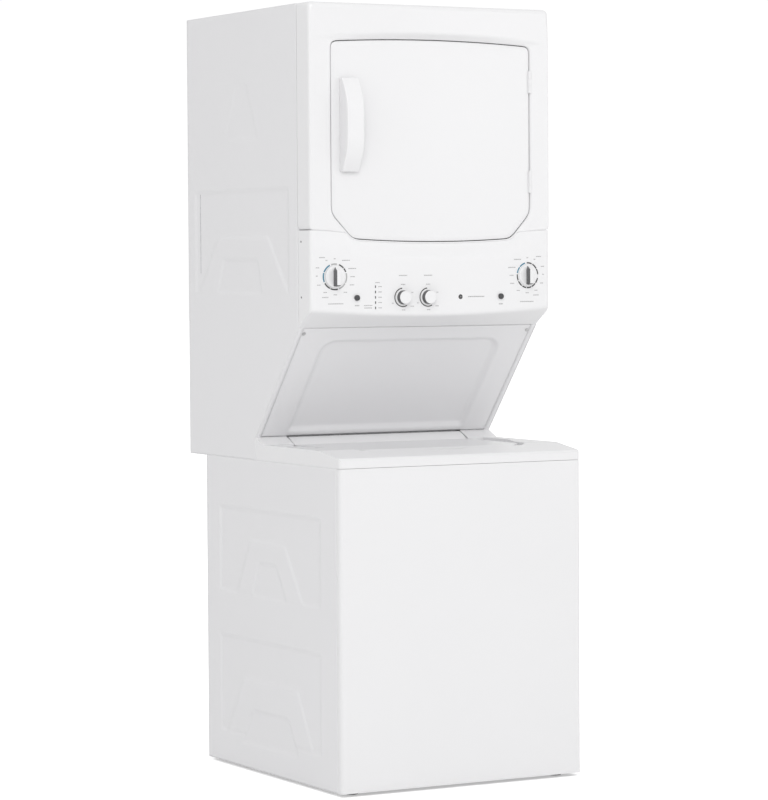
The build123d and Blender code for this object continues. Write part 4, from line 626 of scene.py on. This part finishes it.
# %% [markdown]
# ## Knobs
#
# A knob is a turned shape: a profile of radius against height, carried round its axis. The two large knobs
# have a pale skirt and a finger grip whose left flank and foot are dark. The two small knobs have a dark
# side wall and a pale cap. Places and radii come from the boxes of the CAD knobs.

# %% Turned shapes and grips
turn_steps = 96


def turned(profile, centre_x, front_y, centre_z):
    """Points of a profile of (radius, height) pairs carried once round an axis that points to the front."""
    angle = np.linspace(0.0, 2 * math.pi, turn_steps, endpoint=False)
    r, h = np.asarray(profile, float).T
    return np.stack([centre_x + r[:, None] * np.cos(angle), front_y - h[:, None] + 0 * angle,
                     centre_z + r[:, None] * np.sin(angle)], -1)


def rounded_profile(corners, step=0.6 * MM, rounds=2):
    """A run of (radius, height) corners sampled evenly, with its corners averaged round."""
    return soften(along(corners, step), rounds, 0)


def paint_faces(obj, material, chosen):
    """Gives the chosen faces, a test on face normals and centres, a second material."""
    obj.data.materials.append(material)
    for face in obj.data.polygons:
        if chosen(face.normal, face.center):
            face.material_index = len(obj.data.materials) - 1


def grip(centre_x, base_y, centre_z, width, length, height):
    """A finger grip: across, a superellipse arch; along, full height with a blade point at the top end and a
    short slope at the foot."""
    t = np.linspace(-1.0, 1.0, 81)
    ends = np.clip(1 - np.abs(t) ** 30, 0, 1) ** 0.5
    crest = height * ends * (1 - 0.85 * ramp(t, 0.60, 1.0)) * (1 - 0.45 * ramp(-t, 0.84, 1.0))
    half = width / 2 * ends * (1 - 0.55 * ramp(t, 0.55, 1.0))
    a = np.linspace(0.0, math.pi, 33)
    across = np.sign(np.cos(a)) * np.abs(np.cos(a)) ** 0.3
    up = np.sin(a) ** 0.3
    return np.stack([centre_x + half[:, None] * across, base_y - crest[:, None] * up,
                     centre_z + (t * length / 2)[:, None] + 0 * across], -1)


knob_dark = finish("knob_dark", grey(0.10, blue=0.004), grey(0.13, blue=0.005), (0.30, 0.38),
                   relief=(mottle, 1200.0, 1.0, 0.05, 0.0002))


def big_knob(node, body):
    """Skirt and hub as one turned shape, with a grip across it, joined in one mesh."""
    lowest, highest = low(node), high(node)
    x, z, radius = (lowest[0] + highest[0]) / 2, (lowest[2] + highest[2]) / 2, (highest[0] - lowest[0]) / 2
    base = lowest[1] + 20.5 * MM
    hub = 4.2 * MM
    profile = rounded_profile([(1e-5, -1.0 * MM), (radius, -1.0 * MM), (radius, 2.0 * MM),
                               (radius - 1.5 * MM, 3.2 * MM),
                               (radius - 6 * MM, hub), (1e-5, hub + 0.3 * MM)])
    points = turned(profile, x, base, z)
    foot_y, grip_width, margin = base - hub + 0.4 * MM, 13.5 * MM, 3.0 * MM
    bar = grip(x, foot_y, z, grip_width, 2 * (radius - margin), foot_y - lowest[1])
    faces = np.concatenate([grid_faces(len(profile), turn_steps, True),
                            grid_faces(*bar.shape[:2], False) + len(profile) * turn_steps])
    every_point = np.concatenate([points.reshape(-1, 3), bar.reshape(-1, 3)])
    obj = merged(mesh_piece(node + "_moulding", every_point, faces, moulded_white, body, (node,)))

    def flank(normal, centre):
        foot = centre[2] < z - radius * 0.74 and normal[2] < -0.25
        return centre[1] < base - hub - 0.2 * MM and (normal[0] < -0.5 or foot)

    paint_faces(obj, knob_dark, flank)
    return obj


def small_knob(node, body):
    """A turned knob with a dark wall and a pale cap, slightly dished for a finger."""
    lowest, highest = low(node), high(node)
    x, z, radius = (lowest[0] + highest[0]) / 2, (lowest[2] + highest[2]) / 2, (highest[0] - lowest[0]) / 2
    tall = 15.5 * MM
    base = lowest[1] + tall
    cap = radius - 3.2 * MM
    profile = rounded_profile([(1e-5, -0.6 * MM), (radius, -0.6 * MM), (radius, 1.2 * MM),
                               (radius - 2 * MM, 2.0 * MM),
                               (cap, tall - 2.4 * MM), (cap - 0.6 * MM, tall - 0.4 * MM),
                               (cap - 2.0 * MM, tall),
                               (1e-5, tall - 0.8 * MM)], 0.5 * MM, 1)
    obj = merged(mesh_piece(node + "_moulding", turned(profile, x, base, z),
                            grid_faces(len(profile), turn_steps, True), moulded_white, body, (node,)))
    paint_faces(obj, knob_dark, lambda normal, centre: base - 1.8 * MM > centre[1] > lowest[1] + 1.6 * MM
                and normal[1] > -0.75)
    return obj


big_knob("washer_cycle_knob", "washer_cycle")
big_knob("dryer_cycle_knob", "dryer_cycle")
small_knob("temperature_knob", "temperature")
small_knob("option_knob", "option")

# %% [markdown]
# ## Printing on the fascia
#
# Dial rings and scale marks are ink, a tenth of a millimetre thick. Each mark is a small patch that follows
# the bowed face: a ring is a band between two radii and two angles, and a mark is a short strip. The marks
# are plain strokes.

# %% Ink patches on the bowed face
def face_point_y(x, z):
    """Depth of the fascia's face at (x, z): the flat plane less the bow, below the swell."""
    top = np.minimum(seam_z(x), np.interp(x, lower[:, 0], lower[:, 1], left=9.0, right=9.0))
    return face_y - bow(x) * ramp(top - z, 0.0, swell)


def ink_patch(grid_x, grid_z):
    """A closed thin plate over a grid of (x, z) places: its front lies 0.2 mm before the face and its back
    0.3 mm inside it."""
    y = face_point_y(grid_x, grid_z)
    front = np.stack([grid_x, y - 0.22 * MM, grid_z], -1)
    rear = np.stack([grid_x, y + 0.30 * MM, grid_z], -1)
    loop = np.concatenate([front, rear[:, ::-1]], axis=1)
    rows, columns = loop.shape[:2]
    ends = [list(range(columns)), list(range((rows - 1) * columns, rows * columns))[::-1]]
    return loop.reshape(-1, 3), grid_faces(rows, columns, True).tolist() + ends


def ring_patch(x, z, radius, width, start, stop):
    """A band of a ring between two angles, in degrees from the right, counter-clockwise."""
    angle = np.radians(spaced([start, stop], 4.0))[:, None]
    r = radius + np.linspace(-0.5, 0.5, 3)[None, :] * width
    return ink_patch(x + r * np.cos(angle), z + r * np.sin(angle))


def stroke_patch(x, z, length, height, steps=4):
    """A level stroke centred at (x, z)."""
    return ink_patch((x + np.linspace(-0.5, 0.5, steps) * length)[:, None] + np.zeros((1, 2)),
                     z + np.array([[-0.5, 0.5]]) * height + np.zeros((steps, 1)))


def print_marks(name, patches, material):
    """Joins many patches into one printed piece."""
    points, faces, count = [], [], 0
    for patch_points, patch_faces in patches:
        points.append(patch_points)
        faces += [[int(i) + count for i in face] for face in patch_faces]
        count += len(patch_points)
    obj = mesh_piece(name, np.concatenate(points), faces, material, "cabinet")
    return merged(obj)


def knob_centre(node):
    """Centre of a knob on the face as (x, z)."""
    middle = (low(node) + high(node)) / 2
    return middle[0], middle[2]


washer_dial = knob_centre("washer_cycle_knob")
dryer_dial = knob_centre("dryer_cycle_knob")
ring_radius, ring_width = 31.2 * MM, 3.4 * MM


def label(x, z, length, height=2.1 * MM):
    """A row of short dashes in place of words, all one height, filling a length in millimetres."""
    widths = np.array([2.6, 1.5, 3.2, 1.9, 2.3, 1.4, 2.9, 1.7] * 4) * MM
    ends = np.cumsum(widths + 0.8 * MM)
    keep = ends < length * MM
    start = x - ends[keep][-1] / 2
    return [stroke_patch(start + stop - 0.8 * MM - width / 2, z, width, height, 3)
            for stop, width in zip(ends[keep], widths[keep])]


teal = [ring_patch(*washer_dial, ring_radius, ring_width, a, b) for a, b in ((116, 158), (162, 204))]
teal += [ring_patch(*dryer_dial, ring_radius, ring_width, a, b) for a, b in ((104, 136), (140, 170))]
dark = [ring_patch(*washer_dial, ring_radius, ring_width, a, b)
        for a, b in ((22, 40), (43, 70), (210, 244), (247, 284))]
dark += [ring_patch(*dryer_dial, ring_radius, ring_width, a, b)
         for a, b in ((4, 30), (33, 62), (66, 94), (176, 204), (208, 236), (240, 262), (266, 290),
                      (294, 318), (322, 346))]
pale = [ring_patch(*washer_dial, ring_radius, ring_width, a, b)
        for a, b in ((-70, -32), (-28, 16), (80, 108))]
for node in ("temperature_knob", "option_knob"):
    centre = knob_centre(node)
    dark.append(ring_patch(*centre, 22.6 * MM, 2.6 * MM, 96, 300))
    for dx, dz, length in ((1, 32, 13), (1, 54, 26), (27, 12, 8), (-28, -14, 7), (26, -22, 10), (2, -31, 10)):
        pale += label(centre[0] + dx * MM, centre[1] + dz * MM, length)
dial_labels = ((-46, 22, 12), (-48, 2, 9), (-43, -20, 10), (-22, 40, 9), (0, 44, 7), (30, 40, 22),
               (47, 20, 22), (48, 0, 14), (46, -20, 14), (28, -38, 10), (1, -44, 10), (-26, -38, 12),
               (-34, 47, 17), (-26, -50, 18), (2, -66, 42))
for centre, flip in ((washer_dial, 1), (dryer_dial, -1)):
    for dx, dz, length in dial_labels:
        if half_width - abs(centre[0] + flip * dx * MM) > (length / 2 + 4) * MM:
            pale += label(centre[0] + flip * dx * MM, centre[1] + dz * MM, length)
print_marks("dial_ink_teal", teal, ink_teal)
print_marks("dial_ink_dark", dark, ink_dark)
print("rings printed")

# %% Labels beside the lights and buttons
light_mid = (low("status_lights") + high("status_lights")) / 2
for k in range(-2, 3):
    pale += label(light_mid[0] + 13 * MM, light_mid[2] + k * 13 * MM, 12)
for dx, dz, length in ((6, 36, 14), (-20, -20, 24), (-20, -26, 22)):
    pale += label(light_mid[0] + dx * MM, light_mid[2] + dz * MM, length)
for node in ("washer_start_button", "dryer_start_button"):
    x, z = knob_centre(node)
    pale += label(x + 1 * MM, z - 19 * MM, 14, 2.6 * MM)
badge_x, badge_z = knob_centre("dryer_start_button")
badge_x -= 118 * MM
pale += label(badge_x + 46 * MM, badge_z, 48, 2.6 * MM)
print_marks("dial_ink_pale", pale, ink_pale)
print_marks("plain_round_badge", [ring_patch(badge_x, badge_z, 3.4 * MM, 5.2 * MM, 0, 352)], ink_dark)

# %% [markdown]
# ## Stamped panels
#
# A large flat sheet drums and dents, so the maker presses shallow shapes into it. A stamping is a height
# field: the sheet is a grid, and each point moves inwards by a depth that depends only on its distance to a
# shape's outline. A smooth step over a few millimetres makes the soft flank that the press leaves.

# %% Distances to outlines
def to_polygon(u, v, corners):
    """Signed distance from points (u, v) to a polygon, positive inside: the nearest edge gives the distance,
    and counting the edges crossed by a level ray gives the side."""
    corners = np.asarray(corners, float)
    best = np.full(u.shape, 9.0)
    inside_count = np.zeros(u.shape, int)
    for (ax, ay), (bx, by) in zip(corners, np.roll(corners, -1, axis=0)):
        ex, ey = bx - ax, by - ay
        t = np.clip(((u - ax) * ex + (v - ay) * ey) / (ex * ex + ey * ey), 0, 1)
        best = np.minimum(best, np.hypot(u - ax - t * ex, v - ay - t * ey))
        crosses = (ay > v) != (by > v)
        where = ax + (v - ay) * ex / np.where(np.abs(ey) < 1e-12, 1e-12, ey)
        inside_count += crosses & (u < where)
    return np.where(inside_count % 2 == 1, best, -best)


def stamping(y, z, rectangle, arch, inner, depth, flank=9 * MM):
    """Depth of a side stamping: a sunk field with an arch standing up in it and a sunk panel in the arch."""
    field = ramp(to_polygon(y, z, rectangle), -flank / 2, flank / 2)
    raised = ramp(to_polygon(y, z, arch), -flank / 2, flank / 2)
    sunk = ramp(to_polygon(y, z, inner), -flank / 2, flank / 2)
    return depth * np.clip(field - raised * field + sunk, 0.0, 1.0)


washer_back_y = high("washer_side_left")[1]
washer_side_front_y = low("washer_side_left")[1]
washer_low_z, washer_high_z = low("washer_side_left")[2], high("washer_side_left")[2]
dryer_low_z, dryer_high_z = low("dryer_side_left")[2], high("dryer_side_left")[2]
print("washer side", round(washer_side_front_y, 4), "to", round(washer_back_y, 4))

# %% Washer sides
stamp_depth = 3.0 * MM
fold = 15 * MM


def front_frame(points):
    """Turns lists of (back from washer front, height) in millimetres into machine coordinates."""
    return [(washer_front_y + a * MM, b * MM) for a, b in points]


upper_field = front_frame([(104, 450), (655, 450), (655, 665), (104, 665)])
upper_arch = front_frame([(198, 449), (292, 583), (306, 588), (470, 588), (484, 583), (562, 449)])
upper_inner = front_frame([(287, 449), (336, 528), (346, 534), (432, 534), (442, 528), (475, 449)])
lower_field = front_frame([(106, 89), (656, 89), (656, 335), (106, 335)])
lower_arch = front_frame([(149, 92), (226, 228), (240, 235), (516, 235), (530, 228), (616, 92)])
lower_inner = front_frame([(225, 70), (275, 150), (287, 157), (472, 157), (484, 150), (536, 70)])


def side_panel(name, side, y, z, sunk, node):
    """A side sheet from grids of y and z, with its stampings' depth and a fold turned inwards all round."""
    x = side * (half_width - sunk)
    sheet = np.stack([np.broadcast_to(x, y.shape), y, z], -1)
    inner = side * (half_width - fold)
    ring_in = [sheet[:1].copy(), sheet[-1:].copy()]
    for strip in ring_in:
        strip[..., 0] = inner
    sheet = np.concatenate([ring_in[0], sheet, ring_in[1]])
    left, right = sheet[:, :1].copy(), sheet[:, -1:].copy()
    left[..., 0] = inner
    right[..., 0] = inner
    sheet = np.concatenate([left, sheet, right], axis=1)
    faces = grid_faces(sheet.shape[0], sheet.shape[1], False)
    obj = mesh_piece(name, sheet, faces if side < 0 else faces[:, ::-1], side_enamel, "cabinet", (node,),
                     wall=sheet_wall)
    obj.modifiers["sheet thickness"].use_even_offset = False
    return obj


wy, wz = np.meshgrid(spaced([washer_side_front_y, washer_back_y], 4.5 * MM),
                     spaced([washer_low_z, washer_high_z], 4.5 * MM))
washer_sunk = (stamping(wy, wz, upper_field, upper_arch, upper_inner, stamp_depth)
               + stamping(wy, wz, lower_field, lower_arch, lower_inner, stamp_depth))
for side, word in ((-1, "left"), (1, "right")):
    side_panel("washer_side_sheet_" + word, side, wy, wz, washer_sunk, "washer_side_" + word)

# %% Dryer sides
# The front edge of a dryer side follows the slope below the fascia, so each row of the grid starts where
# that edge is and ends at the back.
dryer_field = front_frame([(260, 1210), (785, 1210), (785, 1470), (260, 1470)])
dryer_arch = front_frame([(260, 1209), (368, 1346), (380, 1352), (648, 1352), (660, 1346), (768, 1209)])
dryer_inner = front_frame([(407, 1212), (428, 1290), (436, 1296), (617, 1296), (625, 1290), (658, 1212)])
dryer_upper = front_frame([(425, 1600), (485, 1730), (495, 1738), (538, 1738), (548, 1730), (610, 1600)])
notch_y, notch_z = 33.5 * MM, 850 * MM
dz = spaced([dryer_low_z, notch_z, slant_top_z, dryer_high_z], 4.5 * MM)
slope_y = notch_y + (side_front_y - notch_y) * (dz - notch_z) / (slant_top_z - notch_z)
edge_y = np.where(dz <= notch_z, notch_y, np.where(dz >= slant_top_z, side_front_y, slope_y))
share = np.linspace(0.0, 1.0, 140)
dy = edge_y[:, None] + (back_y - edge_y)[:, None] * share[None, :]
dzz = dz[:, None] + 0 * dy
dryer_sunk = stamping(dy, dzz, dryer_field, dryer_arch, dryer_inner, stamp_depth)
dryer_sunk = dryer_sunk + 1.2 * MM * ramp(to_polygon(dy, dzz, dryer_upper), -5 * MM, 5 * MM)
for side, word in ((-1, "left"), (1, "right")):
    side_panel("dryer_side_sheet_" + word, side, dy, dzz, dryer_sunk, "dryer_side_" + word)

# %% [markdown]
# ## Access panel
#
# The slanted panel has one large recess with a broad sloping border and rounded corners. Its grid runs across
# the machine and down the slope, and the recess moves points along the panel's own normal.

# %% Slanted panel
slant_bottom_y, slant_bottom_z = 34 * MM, 850 * MM
down = np.array([0.0, slant_bottom_y - side_front_y, slant_bottom_z - slant_top_z])
slope_length = np.linalg.norm(down)
down /= slope_length
outward = np.array([0.0, down[2], -down[1]])
panel_half = high("access_panel")[0]
across, along_slope = np.meshgrid(spaced([-panel_half, panel_half], 3.5 * MM),
                                  spaced([1 * MM, slope_length - 1 * MM], 3.5 * MM))
recess_half, recess_high, recess_low = 260 * MM, 39 * MM, 353 * MM
corner = np.where(along_slope < slope_length / 2, 45 * MM, 14 * MM)
qx = np.abs(across) - recess_half + corner
qs = np.abs(along_slope - (recess_high + recess_low) / 2) - (recess_low - recess_high) / 2 + corner
outside_distance = np.hypot(np.maximum(qx, 0), np.maximum(qs, 0)) + np.minimum(np.maximum(qx, qs), 0) - corner
sunk = 8 * MM * ramp(-outside_distance, 0.0, 17 * MM)
origin = np.array([0.0, side_front_y, slant_top_z])
panel = (origin + across[..., None] * np.array([1.0, 0, 0]) + along_slope[..., None] * down
         - sunk[..., None] * outward)
turned_in = np.concatenate([panel[:1] - 8 * MM * outward, panel, panel[-1:] - 8 * MM * outward])
slanted_faces = grid_faces(*turned_in.shape[:2], False)[:, ::-1]
mesh_piece("slanted_panel", turned_in, slanted_faces, side_enamel, "cabinet", ("access_panel",),
           wall=sheet_wall)

# %% [markdown]
# ## Screws on the fascia's sides
#
# Two small screws hold each end of the fascia. A screw head is a turned dome.

# %% Side screws
screw_rings, screw_steps = 5, 24


def side_screw(side, y, z, radius=2.6 * MM):
    """A shallow dome on a side face, as rings of falling radius."""
    angle = np.linspace(0.0, 2 * math.pi, screw_steps, endpoint=False)
    profile = np.array([(radius, -0.5), (radius, 0.3), (radius * 0.8, 0.9), (radius * 0.4, 1.2),
                        (1e-6, 1.25)])
    r, h = profile[:, 0], profile[:, 1] * MM
    return np.stack([side * (half_width + h[:, None] - 0.4 * MM) + 0 * angle, y + r[:, None] * np.cos(angle),
                     z + r[:, None] * np.sin(angle)], -1).reshape(-1, 3)


screws = [side_screw(side, side_front_y - 16 * MM, z * MM) for side in (-1, 1) for z in (1203, 1339)]
one_screw = grid_faces(screw_rings, screw_steps, True)
screw_faces = np.concatenate([one_screw + screw_rings * screw_steps * index for index in range(len(screws))])
merged(mesh_piece("fascia_side_screws", np.concatenate(screws), screw_faces, knob_dark, "cabinet"))

# %% [markdown]
# ## Floor, light and camera
#
# A plain pale floor, a bright surround and two large soft lights, as in a white photo studio. The surround
# is brighter above than below, so the undersides of folds fall a little darker. The camera stands far off
# with a long lens, a little left of the front, so upright edges stay almost parallel.

# %% Floor
floor_half = 60.0
floor_points = np.array([[-1, -1, 0], [1, -1, 0], [1, 1, 0], [-1, 1, 0]], float) * floor_half
floor_mesh = bpy.data.meshes.new("studio_floor")
floor_mesh.from_pydata(floor_points.tolist(), [], [(0, 1, 2, 3)])
floor = bpy.data.objects.new("studio_floor", floor_mesh)
bpy.context.scene.collection.objects.link(floor)
pale = finish("studio_floor", grey(0.93), grey(0.95), (0.6, 0.7))
make, link = pale.node_tree.nodes.new, pale.node_tree.links.new
surface = pale.node_tree.nodes["Principled BSDF"].outputs[0]
glow = make("ShaderNodeEmission")
glow.inputs["Strength"].default_value = 0.42
both = make("ShaderNodeAddShader")
link(surface, both.inputs[0])
link(glow.outputs[0], both.inputs[1])
seen = make("ShaderNodeLightPath")
pick = make("ShaderNodeMixShader")
link(seen.outputs["Is Camera Ray"], pick.inputs["Fac"])
link(surface, pick.inputs[1])
link(both.outputs[0], pick.inputs[2])
link(pick.outputs[0], pale.node_tree.nodes["Material Output"].inputs["Surface"])
floor_mesh.materials.append(pale)
print("floor", 2 * floor_half, "m wide")

# %% Surround and lights
scene = bpy.context.scene
scene.view_settings.view_transform = "Standard"
world = bpy.data.worlds.new("studio")
scene.world = world
world.use_nodes = True
sky = world.node_tree
make, link = sky.nodes.new, sky.links.new
backdrop = sky.nodes["Background"]
backdrop.inputs["Color"].default_value = (1.0, 1.0, 1.0, 1.0)
backdrop.inputs["Strength"].default_value = 1.02
dim = make("ShaderNodeBackground")
looking = make("ShaderNodeTexCoord")
parts = make("ShaderNodeSeparateXYZ")
fade = make("ShaderNodeMapRange")
fade.inputs["From Min"].default_value = -0.2
fade.inputs["From Max"].default_value = 1.0
fade.inputs["To Min"].default_value = 0.96
fade.inputs["To Max"].default_value = 1.06
link(looking.outputs["Generated"], parts.inputs["Vector"])
link(parts.outputs["Z"], fade.inputs["Value"])
link(fade.outputs["Result"], dim.inputs["Strength"])
eye = make("ShaderNodeLightPath")
either = make("ShaderNodeMixShader")
link(eye.outputs["Is Camera Ray"], either.inputs["Fac"])
link(dim.outputs["Background"], either.inputs[1])
link(backdrop.outputs["Background"], either.inputs[2])
link(either.outputs["Shader"], sky.nodes["World Output"].inputs["Surface"])


def soft_light(name, place, aim, size, power):
    """A square area light that looks from its place towards the aim."""
    lamp = bpy.data.lights.new(name, "AREA")
    lamp.size = size
    lamp.energy = power
    obj = bpy.data.objects.new(name, lamp)
    scene.collection.objects.link(obj)
    look = (np.array(place) - np.array(aim)) / np.linalg.norm(np.array(place) - np.array(aim))
    right = np.cross([0, 0, 1], look)
    right /= np.linalg.norm(right)
    up = np.cross(look, right)
    turn = Matrix([[*map(float, row)] for row in np.stack([right, up, look], 1)]).to_4x4()
    obj.matrix_world = Matrix.Translation(place) @ turn
    return obj


soft_light("key_light", (-2.2, -4.6, 4.2), (0.0, -0.2, 1.1), 2.6, 84.0)
soft_light("fill_light", (3.8, -4.2, 2.0), (0.0, -0.2, 1.0), 3.0, 22.0)
print("two soft lights")

# %% Camera
lens_mm = 146.7
camera_place = (-4.0045, -7.2955, 1.2862)
camera_yaw, camera_pitch, camera_roll = math.radians(-28.8235), math.radians(-2.4087), math.radians(-0.3505)
camera_data = bpy.data.cameras.new("camera")
camera_data.lens = lens_mm
camera_data.sensor_width = 36.0
camera = bpy.data.objects.new("camera", camera_data)
scene.collection.objects.link(camera)
camera.matrix_world = (Matrix.Translation(camera_place) @ Matrix.Rotation(camera_yaw, 4, "Z")
                       @ Matrix.Rotation(math.pi / 2 + camera_pitch, 4, "X")
                       @ Matrix.Rotation(camera_roll, 4, "Z"))
scene.camera = camera
print("camera at", camera_place)
